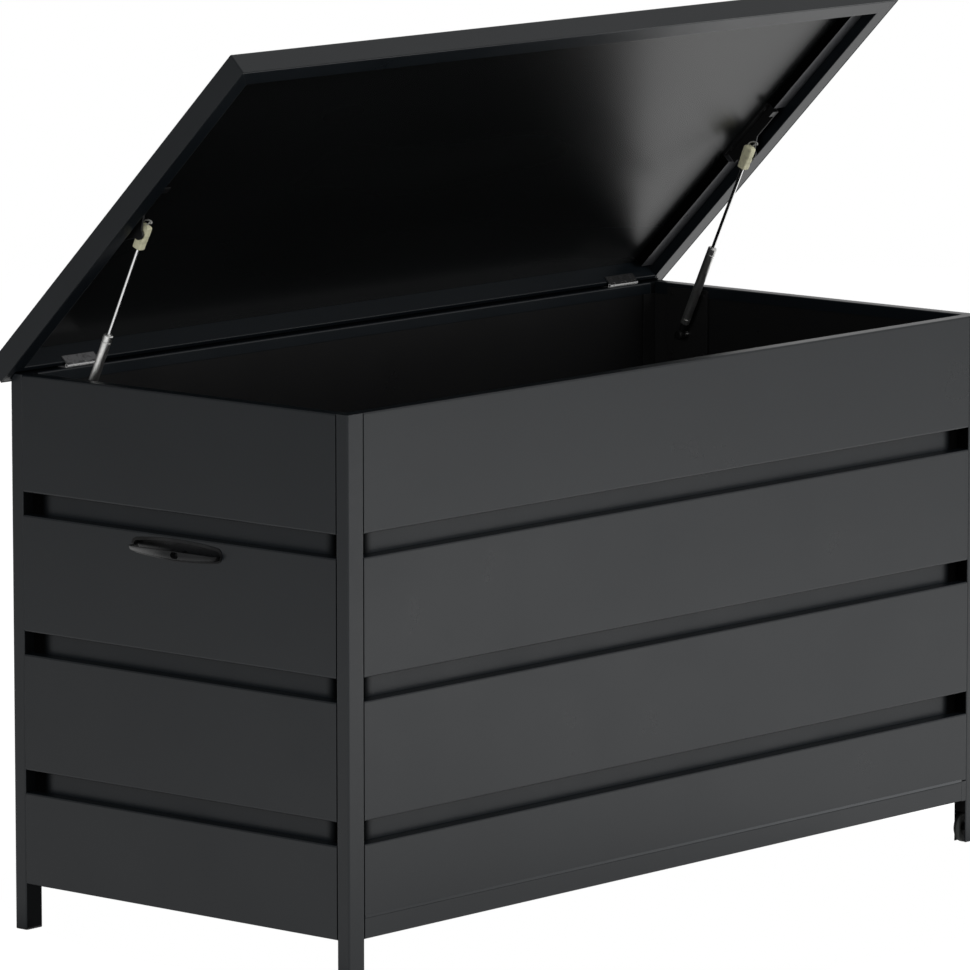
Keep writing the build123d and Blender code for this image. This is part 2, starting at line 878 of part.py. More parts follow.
def lid_rectangle(inset):
    """Middle, length and depth of the lid's outline drawn in by an inset."""
    middle = (0, (lid_front + lid_rear) / 2)
    return middle, 2 * (lid_half_length - inset), lid_rear - lid_front - 2 * inset


with BuildPart() as lid_skin_piece:
    middle, length, depth = lid_rectangle(0)
    with BuildSketch(lid_level(lid_low)):
        with Locations(middle):
            Rectangle(length, depth)
    extrude(amount=lid_high - lid_low)
    lid_up = Axis((0, 0, 0), lid_plane.z_dir)
    top_face = lid_skin_piece.faces().sort_by(lid_up)[-1]
    corners = lid_skin_piece.edges().filter_by(lid_up)
    fillet(corners + top_face.edges(), lid_edge_radius)
    bottom_face = lid_skin_piece.faces().filter_by(lid_up).sort_by(lid_up)[0]
    offset(amount=-lid_skin, openings=bottom_face)
write(lid_skin_piece, "lid_skin")

with BuildPart() as lid_lining_piece:
    middle, length, depth = lid_rectangle(member_inset + seam)
    with BuildSketch(lid_level(lining_low)):
        with Locations(middle):
            Rectangle(length, depth)
    extrude(amount=lid_lining)
    add(lid_screw_holes(-1).part, mode=Mode.SUBTRACT)
    add(lid_screw_holes(1).part, mode=Mode.SUBTRACT)
write(lid_lining_piece, "lid_lining")

# Swung open, the back top edge of the chest reaches into the hollow of the lid's rear
# member through a slot. The slot is where the hinge leaf's top and the back face of the
# chest cross the level of the lid's underside when the lid is fully open.
leaf_top = chest_height + hinge_leaf - hinge_z
slot_front_y = (lid_low - leaf_top * math.cos(turn)) / math.sin(turn)
slot_front = slot_front_y * math.cos(turn) - leaf_top * math.sin(turn) - slot_clearance
back_y = half_depth - hinge_y
back_z = (lid_low - back_y * math.sin(turn)) / math.cos(turn)
slot_rear = back_y * math.cos(turn) - back_z * math.sin(turn) + slot_clearance
slot_half_length = half_length + slot_clearance

member_low = lid_low
member_high = lid_high - lid_skin


def lid_member(name):
    """Mitred rectangular tube along one side of the lid, between the skin's edges."""
    (_, middle_y), length, depth = lid_rectangle(lid_skin)
    along_x = name in ("front", "rear")
    side = -1 if name in ("front", "left") else 1
    half_span, half_across = (length / 2, depth / 2) if along_x else (depth / 2, length / 2)
    outer = side * half_across
    inner = side * (half_across - lid_member_width)
    inner_span = half_span - lid_member_width
    outline = [(-half_span, outer), (half_span, outer), (inner_span, inner), (-inner_span, inner)]
    if not along_x:
        outline = [(y, x) for x, y in outline]
    run = lid_plane.x_dir if along_x else lid_plane.y_dir
    centre = outer - side * lid_member_width / 2
    tall = member_high - member_low
    if along_x:
        start = Plane(
            origin=lid_plane.from_local_coords((-half_span, middle_y + centre, member_low + tall / 2)),
            x_dir=lid_plane.y_dir,
            z_dir=lid_plane.x_dir,
        )
    else:
        start = Plane(
            origin=lid_plane.from_local_coords((centre, middle_y - half_span, member_low + tall / 2)),
            x_dir=-lid_plane.x_dir,
            z_dir=lid_plane.y_dir,
        )
    with BuildPart() as member:
        with BuildSketch(lid_level(member_low)):
            with Locations((0, middle_y)):
                Polygon(*outline, align=None)
        extrude(amount=tall)
        long_edges = member.edges().filter_by(Axis((0, 0, 0), run))
        fillet(long_edges, lid_member_radius)
        with BuildSketch(lid_level(member_low)):
            with Locations((0, middle_y)):
                RectangleRounded(length, depth, lid_edge_radius)
        extrude(amount=tall, mode=Mode.INTERSECT)
        with BuildSketch(start):
            Rectangle(lid_member_width - 2 * lid_member_wall, tall - 2 * lid_member_wall)
        extrude(amount=2 * half_span, mode=Mode.SUBTRACT)
        if name != "front":
            with BuildSketch(lid_level(member_low)):
                with Locations((0, (slot_front + slot_rear) / 2)):
                    Rectangle(2 * slot_half_length, slot_rear - slot_front)
            extrude(amount=lid_member_wall + seam, mode=Mode.SUBTRACT)
        if name == "rear":
            add(bored(lid_leaf_seats, hinge_screw_depth + seam).part, mode=Mode.SUBTRACT)
    return member


for name in ("front", "rear", "left", "right"):
    write(lid_member(name), f"lid_member_{name}")

# ---------------------------------------------------------------- struts

strut_reach = (upper_ball - lower_ball).length
strut_direction = (upper_ball - lower_ball).normalized()
tube_end = tube_start + tube_length
rod_top = strut_reach - rod_end


def strut_plane(side, distance):
    """Plane square to a strut at a distance from its lower ball."""
    origin = lower_ball + Vector(side * strut_x, 0, 0) + strut_direction * distance
    return Plane(origin=origin, x_dir=(1, 0, 0), z_dir=strut_direction)


def strut_side_plane(side, x_inset, ball):
    """Plane facing the middle of the chest, centred on a ball, at an inset from the end."""
    origin = Vector(side * (half_length - x_inset), ball.Y, ball.Z)
    return Plane(origin=origin, x_dir=(0, -side, 0), z_dir=(-side, 0, 0))


def strut_section(side):
    """Plane through a strut's axis: its x points to the end wall, its y up the strut."""
    origin = lower_ball + Vector(side * strut_x, 0, 0)
    outward = Vector(side, 0, 0)
    return Plane(origin=origin, x_dir=outward, z_dir=outward.cross(strut_direction))


def strut_tube(side):
    """Gas strut's cylinder: bored tube with a ring groove and a rolled-in end round the rod."""
    with BuildPart() as tube:
        with BuildSketch(strut_section(side)):
            with BuildLine():
                Polyline(
                    (0, tube_start),
                    (tube_radius - tube_round, tube_start),
                    (tube_radius, tube_start + tube_round),
                    (tube_radius, tube_end - tube_round),
                    (tube_radius - tube_round, tube_end),
                    (rod_radius + rod_clearance, tube_end),
                    (rod_radius + rod_clearance, tube_end - guide_length),
                    (tube_radius - tube_wall, tube_end - guide_length),
                    (tube_radius - tube_wall, tube_start + tube_floor),
                    (0, tube_start + tube_floor),
                    close=True,
                )
            make_face()
            for height in (tube_end - groove_from_end, tube_start + groove_from_start):
                with Locations((tube_radius, height)):
                    Circle(groove_radius, mode=Mode.SUBTRACT)
        revolve(axis=Axis(strut_section(side).origin, strut_direction))
    return tube


def strut_rod(side):
    """Polished rod with its piston."""
    piston_top = tube_end - guide_length - piston_gap
    with BuildPart() as rod:
        with BuildSketch(strut_plane(side, piston_top - piston_length)):
            Circle(piston_radius)
        extrude(amount=piston_length)
        with BuildSketch(strut_plane(side, piston_top)):
            Circle(rod_radius)
        extrude(amount=rod_top - piston_top)
    return rod


def socket(side, ball, along, seat):
    """Moulded ball socket: a round cup over the ball and a neck to the strut at seat.

    The cup is open towards the end wall, where the stud comes in.
    """
    centre = ball + Vector(side * strut_x, 0, 0)
    cup_width = socket_radius + socket_front
    with BuildPart() as cup:
        with BuildSketch(Plane(origin=centre, x_dir=(1, 0, 0), z_dir=along)):
            Circle(socket_neck_radius)
        extrude(amount=seat)
        with BuildSketch(strut_side_plane(side, strut_inset - socket_front, ball)):
            Circle(socket_radius)
        extrude(amount=cup_width)
        fillet(cup.faces().sort_by(Axis((0, 0, 0), (-side, 0, 0)))[-1].edges(), socket_round)
        with BuildSketch(strut_side_plane(side, strut_inset - socket_radius, ball)):
            Circle(socket_mouth)
        extrude(amount=socket_radius, mode=Mode.SUBTRACT)
        with BuildSketch(Plane(origin=centre, x_dir=(1, 0, 0), z_dir=(0, 0, 1))):
            with BuildLine():
                reach = ball_radius + ball_clearance
                ThreePointArc((-reach, 0), (0, reach), (reach, 0))
                Line((reach, 0), (-reach, 0))
            make_face()
        revolve(axis=Axis(centre, (1, 0, 0)), mode=Mode.SUBTRACT)
    return cup


for name, side in (("left", -1), ("right", 1)):
    write(strut_tube(side), f"{name}_strut_tube")
    write(strut_rod(side), f"{name}_strut_rod")
    write(socket(side, lower_ball, strut_direction, tube_start), f"{name}_lower_socket")
    write(socket(side, upper_ball, -strut_direction, rod_end), f"{name}_upper_socket")


def ball_stud(side, ball, root_inset):
    """Ball on a collared shank that stands off a bracket at root_inset from the end face."""
    shank = strut_inset - root_inset
    with BuildPart() as stud:
        with BuildSketch(strut_side_plane(side, root_inset, ball)):
            Circle(stud_radius)
        extrude(amount=shank)
        with BuildSketch(strut_side_plane(side, root_inset, ball)):
            RegularPolygon(stud_collar_radius, 6)
        extrude(amount=stud_collar)
        with BuildSketch(strut_side_plane(side, strut_inset, ball)):
            with BuildLine():
                ThreePointArc((-ball_radius, 0), (0, ball_radius), (ball_radius, 0))
                Line((ball_radius, 0), (-ball_radius, 0))
            make_face()
        centre = ball + Vector(side * strut_x, 0, 0)
        revolve(axis=Axis(centre, (0, 1, 0)))
    return stud


chest_plate_inset = rim_width + plate_thickness
lower_studs = [ball_stud(side, lower_ball, chest_plate_inset) for side in (-1, 1)]
with BuildPart() as lower_ball_studs:
    for stud in lower_studs:
        add(stud.part)
write(lower_ball_studs, "lower_ball_studs")

lid_web_inner = lid_web_inset + plate_thickness + stud_face_clearance
for name, side in (("left", -1), ("right", 1)):
    write(ball_stud(side, upper_ball, lid_web_inner), f"{name}_upper_stud")

# ---------------------------------------------------------------- strut brackets

spacer_height = rim_width - liner_inset


def chest_bracket(side):
    """Plate on the rim's lip that carries the lower stud, with pressed spacers lower down."""
    with BuildPart() as plate:
        with BuildSketch(chest_plate_plane(side)):
            RectangleRounded(chest_plate_width, chest_plate_height, plate_corner)
        extrude(amount=plate_thickness)
        with BuildSketch(chest_plate_plane(side)):
            with Locations((0, -chest_screw_pitch_z / 2)):
                with GridLocations(chest_screw_pitch_y, 1, 2, 1):
                    Circle(spacer_boss_radius)
        extrude(amount=-spacer_height)
        add(chest_screw_holes(side).part, mode=Mode.SUBTRACT)
    return plate


chest_brackets = [chest_bracket(side) for side in (-1, 1)]
with BuildPart() as strut_chest_brackets:
    for bracket in chest_brackets:
        add(bracket.part)
write(strut_chest_brackets, "strut_chest_brackets")

web_low = lid_high - lid_web_depth


def lid_bracket(side):
    """Angle under the lid: a foot on the lining and a web with an ear for the upper stud."""
    _, ear_v, ear_w = upper_ball_local
    tab_x = half_length - lid_web_inset - tab_reach / 2
    tab_v = lid_front + lid_plate_front + tab_width / 2
    with BuildPart() as angle:
        with BuildSketch(lid_level(lining_low - plate_thickness)):
            with Locations((side * lid_plate_x, lid_plate_middle)):
                Rectangle(lid_plate_width, lid_plate_length)
        extrude(amount=plate_thickness)
        with BuildSketch(lid_section(side * (half_length - lid_web_inset))):
            with Locations((lid_plate_middle, (lining_low + web_low) / 2)):
                Rectangle(lid_plate_length, lining_low - web_low)
            with BuildLine():
                Polyline(
                    (ear_v - ear_base / 2, web_low),
                    (ear_v - ear_radius, ear_w),
                    (ear_v + ear_radius, ear_w),
                    (ear_v + ear_base / 2, web_low),
                    close=True,
                )
            make_face()
            with Locations((ear_v, ear_w)):
                Circle(ear_radius)
        extrude(amount=-side * plate_thickness)
        with BuildSketch(lid_level(web_low)):
            with Locations((side * tab_x, tab_v)):
                Rectangle(tab_reach, tab_width)
        extrude(amount=tab_thickness)
        add(lid_screw_holes(side).part, mode=Mode.SUBTRACT)
    return angle


lid_brackets = [lid_bracket(side) for side in (-1, 1)]
with BuildPart() as strut_lid_brackets:
    for bracket in lid_brackets:
        add(bracket.part)
write(strut_lid_brackets, "strut_lid_brackets")

# ---------------------------------------------------------------- screws


def screw(seat, outline):
    """Screw turned from its outline: x is its radius and y its height over the seat."""
    with BuildPart() as turned:
        with BuildSketch(Plane(origin=seat.origin, x_dir=seat.x_dir, z_dir=-seat.y_dir)):
            Polygon(*outline, align=None)
        revolve(axis=Axis(seat.origin, seat.z_dir))
    return turned


def pan_outline(head_radius, depth):
    """Pan head with a bevelled rim over the seat and a shank below it."""
    return [
        (0, -depth),
        (screw_radius, -depth),
        (screw_radius, 0),
        (head_radius, 0),
        (head_radius, screw_head - screw_head_bevel),
        (head_radius - screw_head_bevel, screw_head),
        (0, screw_head),
    ]


def flush_outline(depth):
    """Countersunk head level with the seat and a shank below it."""
    head_radius = countersink_radius - seam
    return [
        (0, -depth),
        (screw_radius, -depth),
        (screw_radius, screw_radius - head_radius),
        (head_radius, 0),
        (0, 0),
    ]


chest_screw_seats = [plane for side in (-1, 1) for plane in chest_bracket_seats(side)]
chest_screw_pieces = [
    screw(seat.offset(plate_thickness), pan_outline(screw_head_radius, chest_screw_depth))
    for seat in chest_screw_seats
]
chest_screw_pieces += [
    screw(seat, flush_outline(hinge_screw_depth)) for seat in chest_leaf_seats
]
handle_screw_depth = handle_screw_seat + handle_sink - seam
handle_screw_place = handle_screw_plane.offset(handle_screw_seat)
chest_screw_pieces.append(
    screw(handle_screw_place, pan_outline(handle_screw_head_radius, handle_screw_depth))
)
with BuildPart() as chest_screws:
    for piece in chest_screw_pieces:
        add(piece.part)
write(chest_screws, "chest_screws")

lid_screw_seats = [plane for side in (-1, 1) for plane in lid_bracket_seats(side)]
lid_screw_pieces = [
    screw(seat, pan_outline(screw_head_radius, lid_screw_depth)) for seat in lid_screw_seats
]
lid_screw_pieces += [screw(seat, flush_outline(hinge_screw_depth)) for seat in lid_leaf_seats]
with BuildPart() as lid_screws:
    for piece in lid_screw_pieces:
        add(piece.part)
write(lid_screws, "lid_screws")
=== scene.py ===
import json
import math

import bmesh
import bpy
import numpy as np
from mathutils import Matrix, Vector


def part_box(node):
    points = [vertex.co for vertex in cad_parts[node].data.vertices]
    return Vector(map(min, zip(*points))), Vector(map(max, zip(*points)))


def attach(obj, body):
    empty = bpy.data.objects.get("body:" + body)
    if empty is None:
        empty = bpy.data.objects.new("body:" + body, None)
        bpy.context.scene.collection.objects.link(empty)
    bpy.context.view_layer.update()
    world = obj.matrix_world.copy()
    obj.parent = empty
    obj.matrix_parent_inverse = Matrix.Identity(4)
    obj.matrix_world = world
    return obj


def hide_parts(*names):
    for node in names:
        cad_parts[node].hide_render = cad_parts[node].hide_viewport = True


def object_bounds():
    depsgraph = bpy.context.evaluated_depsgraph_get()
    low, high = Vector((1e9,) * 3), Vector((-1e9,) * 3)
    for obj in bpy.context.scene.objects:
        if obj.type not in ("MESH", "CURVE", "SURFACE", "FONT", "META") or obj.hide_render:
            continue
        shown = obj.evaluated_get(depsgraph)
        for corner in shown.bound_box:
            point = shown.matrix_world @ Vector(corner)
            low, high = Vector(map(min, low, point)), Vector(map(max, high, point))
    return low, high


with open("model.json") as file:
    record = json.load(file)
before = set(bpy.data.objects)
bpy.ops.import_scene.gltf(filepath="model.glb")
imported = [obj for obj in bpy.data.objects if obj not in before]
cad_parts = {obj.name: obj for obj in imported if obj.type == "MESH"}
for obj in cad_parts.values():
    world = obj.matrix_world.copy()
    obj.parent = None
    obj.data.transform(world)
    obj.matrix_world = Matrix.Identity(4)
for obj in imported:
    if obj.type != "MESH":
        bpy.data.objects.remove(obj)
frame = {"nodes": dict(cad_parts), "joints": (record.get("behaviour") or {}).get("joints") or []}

bl_info = {
    "name": "Rolling Storage Chest Looks",
    "version": (1, 0, 0),
    "blender": (4, 5, 0),
    "location": "View3D > Sidebar > Chest",
    "description": "Finishes and small fittings of a rolling steel chest with a lid on gas struts",
    "category": "Add Mesh",
}

CAD_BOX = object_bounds()
MM = 0.001


# ---- sizes and colours


def length(name, description, default, smallest=0.0):
    """A property that holds a length in metres."""
    return bpy.props.FloatProperty(
        name=name,
        description=description,
        default=default,
        min=smallest,
        precision=5,
        unit="LENGTH",
    )


def number(name, description, default, low=0.0, high=10.0):
    """A property that holds a plain number."""
    return bpy.props.FloatProperty(
        name=name, description=description, default=default, min=low, max=high, precision=4
    )


def share(name, description, default):
    """A property that holds a number from 0 to 1."""
    return number(name, description, default, 0.0, 1.0)


def turn(name, description, degrees):
    """A property that holds an angle, written in degrees."""
    return bpy.props.FloatProperty(
        name=name, description=description, default=math.radians(degrees), unit="ROTATION"
    )


def colour(name, description, default):
    """A property that holds a linear colour."""
    return bpy.props.FloatVectorProperty(
        name=name, description=description, default=default, subtype="COLOR", min=0.0, max=1.0
    )


class ChestPaintSettings(bpy.types.PropertyGroup):
    """Colours of the painted steel."""

    coat: colour("Coat", "Powder coat of the boards, posts and lid", (0.0062, 0.0084, 0.0108))
    coat_light: colour("Coat, lighter", "Lighter cloud in the coat", (0.0075, 0.0100, 0.0125))
    # painted highlight and thin coat: lighter colour along outside edges
    edge: colour("Edge", "Thin coat on outside edges", (0.014, 0.017, 0.020))
    # painted shade: black for the grooves' ends, the posts' side faces and the ledges' side faces
    shade: colour("Recess", "Coat in the closed ends of the grooves", (0.002, 0.002, 0.002))
    inside: colour("Inside", "Paint inside the chest", (0.0110, 0.0110, 0.0113))
    inside_light: colour("Inside, lighter", "Lighter cloud inside", (0.0145, 0.0145, 0.0148))
    # painted highlight: pale colour of the ledges under the lid, standing for a bright stripe of
    # light
    ledge: colour("Ledge", "Worn coat of the ledges under the lid", (0.055, 0.056, 0.060))
    # painted highlight: pale colour of the front bead, a line of light along the front seam
    bead: colour("Bead", "Thin coat of the bead along the front", (0.080, 0.086, 0.092))
    lining: colour("Lining", "Gloss panel under the lid", (0.0055, 0.0060, 0.0062))
    coat_roughness: share("Coat roughness", "Roughness of the coat", 0.30)
    lining_roughness: share("Lining roughness", "Roughness of the gloss panel", 0.27)
    inside_roughness: share("Inside roughness", "Roughness of the angles and the floor", 0.40)
    bracket_roughness: share("Bracket roughness", "Roughness of the brackets and ledges", 0.30)
    coat_gloss: share("Coat gloss", "Specular level of the coat", 0.43)
    liner_gloss: share("Liner gloss", "Specular level of the liners in the grooves", 0.31)
    ledge_gloss: share("Ledge gloss", "Specular level of the ledges under the lid", 0.7)
    lining_gloss: share("Lining gloss", "Specular level of the gloss panel", 0.365)
    peel: length("Orange peel", "Width of the coat's fine ripple", 1.1 * MM)
    bevel: length("Edge rounding", "Radius that softens sharp edges", 0.9 * MM)
    bead_bevel: length("Bead rounding", "The same on the bead along the front", 0.1 * MM)
    recess_fade: length("Recess fade", "Length over which a groove's end darkens", 42.0 * MM)


class ChestMetalSettings(bpy.types.PropertyGroup):
    """Colours of bare metal and of moulded parts."""

    zinc: colour("Zinc", "Plated screws, studs and knuckles", (0.62, 0.62, 0.61))
    leaf: colour("Leaf", "Hinge leaves", (0.20, 0.20, 0.205))
    # painted highlight: bright colour of the hinge knuckles' lower front
    knuckle_glint: colour("Knuckle", "Rubbed hinge knuckles", (0.90, 0.90, 0.89))
    screw: colour("Screw", "Blackened screws", (0.012, 0.012, 0.012))
    clip: colour("Clip", "Spring clips", (0.50, 0.50, 0.47))
    chrome: colour("Rod", "Polished strut rod", (0.80, 0.80, 0.80))
    tube: colour("Tube", "Strut tube", (0.90, 0.90, 0.88))
    tube_dark: colour("Tube, dull", "Dull marks on the strut tube", (0.60, 0.60, 0.58))
    socket: colour("Socket", "Moulded upper sockets", (0.82, 0.80, 0.56))
    socket_dark: colour("Socket, stained", "Greased marks on the sockets", (0.50, 0.48, 0.33))
    grip: colour("Handle", "Moulded handle", (0.012, 0.0125, 0.0135))
    # painted highlight on the handle's lip
    grip_highlight: colour("Handle, rubbed", "Rubbed lip of the handle", (0.18, 0.18, 0.18))
    plastic: colour("Plastic", "Black moulded blocks and feet", (0.003, 0.003, 0.003))
    plastic_light: colour("Plastic, lighter", "Scuffed black plastic", (0.012, 0.012, 0.012))
    tyre: colour("Tyre", "Rubber tread of the rollers", (0.006, 0.0065, 0.006))
    tyre_side: colour("Tyre side", "Side walls of the rollers", (0.055, 0.058, 0.056))
    hub: colour("Hub", "Roller centres", (0.004, 0.004, 0.004))


class ChestFittingSettings(bpy.types.PropertyGroup):
    """Sizes of the small fittings that are added to the frame."""

    clip_wire: length("Clip wire", "Radius of the spring clip over an upper socket", 1.1 * MM)
    block_depth: length("Socket depth", "Half the depth of a socket's block", 7.6 * MM)
    block_width: length("Socket width", "Half the width of a socket's neck", 8.6 * MM)
    block_step: length("Socket step", "Widening at each step of a socket", 0.75 * MM)
    block_top: length("Socket top", "Ball centre to the top of a socket", 16.5 * MM)
    block_floor: length("Socket floor", "Ball centre to the foot of a socket", 26.0 * MM)
    ledge_width: length("Ledge width", "Width of the ledge beside a side member", 30.0 * MM)
    ledge_drop: length("Ledge drop", "Ledge to the underside of the lid's members", 17.0 * MM)
    ledge_room: length("Ledge room", "Clear length each side of a strut bracket", 3.0 * MM)
    ledge_start: length("Ledge start", "Clear length before the rear member", 8.0 * MM)
    ledge_corner: length("Ledge corner", "Radius of the ledge's corners", 1.2 * MM)
    bead_height: length("Bead height", "Height of the bead over the front rail", 4.2 * MM)
    bead_proud: length("Bead rise", "How far that bead stands out of the front", 0.25 * MM)
    bead_depth: length("Bead depth", "How far it fills the fold behind", 1.0 * MM)
    # radii of the painted highlight on the hinge knuckles
    knuckle_glint: length("Knuckle", "Radius of the bright hinge knuckles", 3.3 * MM)
    knuckle_glint_fade: length("Knuckle fade", "Radius where their brightness ends", 4.2 * MM)
    leaf_reach: length("Leaf reach", "Distance of the leaf's screws from its pin", 25.0 * MM)
    leaf_fade: length("Leaf fade", "Distance beyond which screws are black", 28.0 * MM)


class ChestStageSettings(bpy.types.PropertyGroup):
    """Camera, lamps and floor."""

    yaw: turn("Yaw", "Turn of the view from +Y towards +X", 48.77832)
    pitch: turn("Pitch", "Tilt of the view below the horizon", 8.64425)
    roll: turn("Roll", "Turn of the view about its own line", -0.03414)
    distance: length("Distance", "Camera to the point it aims at", 12.90832)
    aim: bpy.props.FloatVectorProperty(
        name="Aim", description="Point the camera aims at", default=(-0.00122, 0.05118, 0.63881),
        subtype="TRANSLATION", precision=5,
    )
    lens: number("Lens", "Focal length in millimetres on a 36 mm sensor", 301.3188, 1.0, 1000.0)
    floor_radius: length("Floor", "Radius of the floor", 9.0)
    floor_colour: colour("Floor colour", "Pale floor", (0.90, 0.90, 0.90))
    floor_bounce: colour("Floor bounce", "Floor as it lights the chest", (0.16, 0.16, 0.16))
    floor_glow: share("Floor glow", "White of the floor that doesn't light the chest", 0.85)
    mirror_left: share("Mirrored room, left", "Room on the left as reflections show it", 0.42)
    mirror_right: share("Mirrored room, right", "The same on the right", 0.745)
    mirror_back: share("Mirrored room, back", "Share of it that is left at the back", 0.6)
    mirror_top: share("Mirrored room, top", "Share of it that is left overhead", 0.68)
    sky: number("Room light", "Strength of the light from all round", 0.20)
    key: number("Key", "Power of the large front lamp in watts", 112.0, 0.0, 5000.0)
    side: number("Side", "Power of the lamp at the handle's end in watts", 60.0, 0.0, 5000.0)


# ---- material tools


def new_material(name):
    """Empty node material with a Principled shader; returns the material and the shader."""
    material = bpy.data.materials.new(name)
    material.use_nodes = True
    return material, shader_of(material)


def put(material, kind, sockets=None, **settings):
    """Adds a node. Settings are its own; sockets take a value or another node's output."""
    tree = material.node_tree
    node = tree.nodes.new(kind)
    for key, value in settings.items():
        setattr(node, key, value)
    for key, value in (sockets or {}).items():
        if isinstance(value, bpy.types.NodeSocket):
            tree.links.new(value, node.inputs[key])
        else:
            node.inputs[key].default_value = value
    return node


def wire(material, source, node, key):
    """Joins an output to a named input."""
    material.node_tree.links.new(source, node.inputs[key])


def place(material):
    """Output of the piece's own coordinates in metres."""
    return put(material, "ShaderNodeTexCoord").outputs["Object"]


def axis_value(material, where, axis, absolute=False):
    """One coordinate, or its distance from zero."""
    value = put(material, "ShaderNodeSeparateXYZ", {"Vector": where}).outputs[axis]
    if absolute:
        value = put(material, "ShaderNodeMath", {0: value}, operation="ABSOLUTE").outputs[0]
    return value


def larger(material, first, second):
    """The larger of two values."""
    return put(material, "ShaderNodeMath", {0: first, 1: second}, operation="MAXIMUM").outputs[0]


def noise(material, where, per_metre, detail=2.0, roughness=0.5):
    """Fractal noise with so many features to a metre; returns its 0 to 1 value."""
    node = put(
        material,
        "ShaderNodeTexNoise",
        {"Vector": where, "Scale": per_metre, "Detail": detail, "Roughness": roughness},
    )
    return node.outputs["Fac"]


def stretched(material, where, scale):
    """Coordinates scaled by axis, so that a noise read there runs along one way."""
    return put(material, "ShaderNodeMapping", {"Vector": where, "Scale": scale}).outputs["Vector"]


def spread(material, value, low, high, to_low, to_high):
    """Value between low and high carried to a new range, and held at its ends."""
    node = put(
        material,
        "ShaderNodeMapRange",
        {"Value": value, "From Min": low, "From Max": high, "To Min": to_low, "To Max": to_high},
    )
    return node.outputs["Result"]


def blend_colour(material, factor, first, second):
    """Colour that goes from first to second with the factor."""
    node = put(material, "ShaderNodeMix", data_type="RGBA")
    for key, value in (("Factor", factor), ("A", first), ("B", second)):
        socket = [s for s in node.inputs if s.name == key and s.enabled][0]
        if isinstance(value, bpy.types.NodeSocket):
            material.node_tree.links.new(value, socket)
        else:
            socket.default_value = (*value, 1.0) if key != "Factor" else value
    return [s for s in node.outputs if s.enabled][0]


def multiply(material, first, second):
    """Product of two values."""
    return put(material, "ShaderNodeMath", {0: first, 1: second}, operation="MULTIPLY").outputs[0]


def rounded(material, radius):
    """Normal softened over sharp edges."""
    return put(material, "ShaderNodeBevel", {"Radius": radius}, samples=6).outputs["Normal"]


def edge_mask(material, soft):
    """1 on edges, where the softened normal leans away from the surface's own."""
    true = put(material, "ShaderNodeNewGeometry").outputs["Normal"]
    match = put(material, "ShaderNodeVectorMath", {0: soft, 1: true}, operation="DOT_PRODUCT")
    return spread(material, match.outputs["Value"], 0.999, 0.93, 0.0, 1.0)


def bumped(material, height, distance, strength, normal=None):
    """Normal shaken by a height in metres."""
    sockets = {"Height": height, "Distance": distance, "Strength": strength}
    if normal is not None:
        sockets["Normal"] = normal
    return put(material, "ShaderNodeBump", sockets).outputs["Normal"]


def shader_of(material):
    """The material's Principled shader."""
    return material.node_tree.nodes["Principled BSDF"]


def recolour(material, factor, tint):
    """Blends a tint over the base colour that the material already has."""
    shader = shader_of(material)
    base = shader.inputs["Base Color"].links[0].from_socket
    wire(material, blend_colour(material, factor, base, tint), shader, "Base Color")


def facing(material, axis, absolute=True):
    """How far the surface looks along an axis of the piece."""
    normal = put(material, "ShaderNodeTexCoord").outputs["Normal"]
    return axis_value(material, normal, axis, absolute)


def dress(material, *nodes):
    """Gives a material to CAD nodes."""
    for name in nodes:
        mesh = frame["nodes"][name].data
        mesh.materials.clear()
        mesh.materials.append(material)


def nodes_named(*parts):
    """CAD nodes whose names hold any of the given words."""
    return [name for name in sorted(frame["nodes"]) if any(part in name for part in parts)]


# ---- finishes


def powder_coat(name, dark, light, edge, roughness, settings, painted_shade_mask=None, gloss_level=None):
    """Satin powder coat: soft clouds, a fine ripple and a lighter line on edges, partly a thinner
    film of coat and partly a painted highlight.

    The shade mask, a function of the material and the piece's coordinates, marks the places that
    lie deep in shade; there the coat is painted as shade, black and without gloss. gloss_level
    takes the place of the coat's own.
    """
    material, shader = new_material(name)
    where = place(material)
    soft = rounded(material, settings.bevel)
    mask = edge_mask(material, soft)
    clouds = noise(material, where, 2.6, 3.0)
    scuffs = noise(material, stretched(material, where, (14.0, 14.0, 90.0)), 1.0, 6.0, 0.65)
    base = blend_colour(material, spread(material, clouds, 0.35, 0.65, 0.0, 1.0), dark, light)
    # painted edge highlight, broken into patches like rubbed coat
    highlight_mask = multiply(material, mask, spread(material, scuffs, 0.35, 0.6, 0.2, 0.7))
    tone = blend_colour(material, highlight_mask, base, edge)
    sheen = noise(material, where, 7.0, 5.0, 0.6)
    gloss = spread(material, sheen, 0.3, 0.7, roughness - 0.03, roughness + 0.04)
    level = gloss_level or settings.coat_gloss
    # painted shade: where the mask is 1 the coat turns black and rough, and loses its specular
    if painted_shade_mask:
        deep = painted_shade_mask(material, where)
        tone = blend_colour(material, deep, tone, settings.shade)
        gloss = larger(material, gloss, deep)
        wire(material, spread(material, deep, 0.0, 1.0, level, 0.0), shader, "Specular IOR Level")
    else:
        shader.inputs["Specular IOR Level"].default_value = level
    wire(material, tone, shader, "Base Color")
    wire(material, gloss, shader, "Roughness")
    ripple = noise(material, where, 1.0 / settings.peel, 2.0)
    waves = noise(material, where, 4.0, 1.0)
    normal = bumped(material, waves, 1.0 * MM, 0.12, soft)
    normal = bumped(material, ripple, 0.04 * MM, 0.3, normal)
    wire(material, normal, shader, "Normal")
    return material


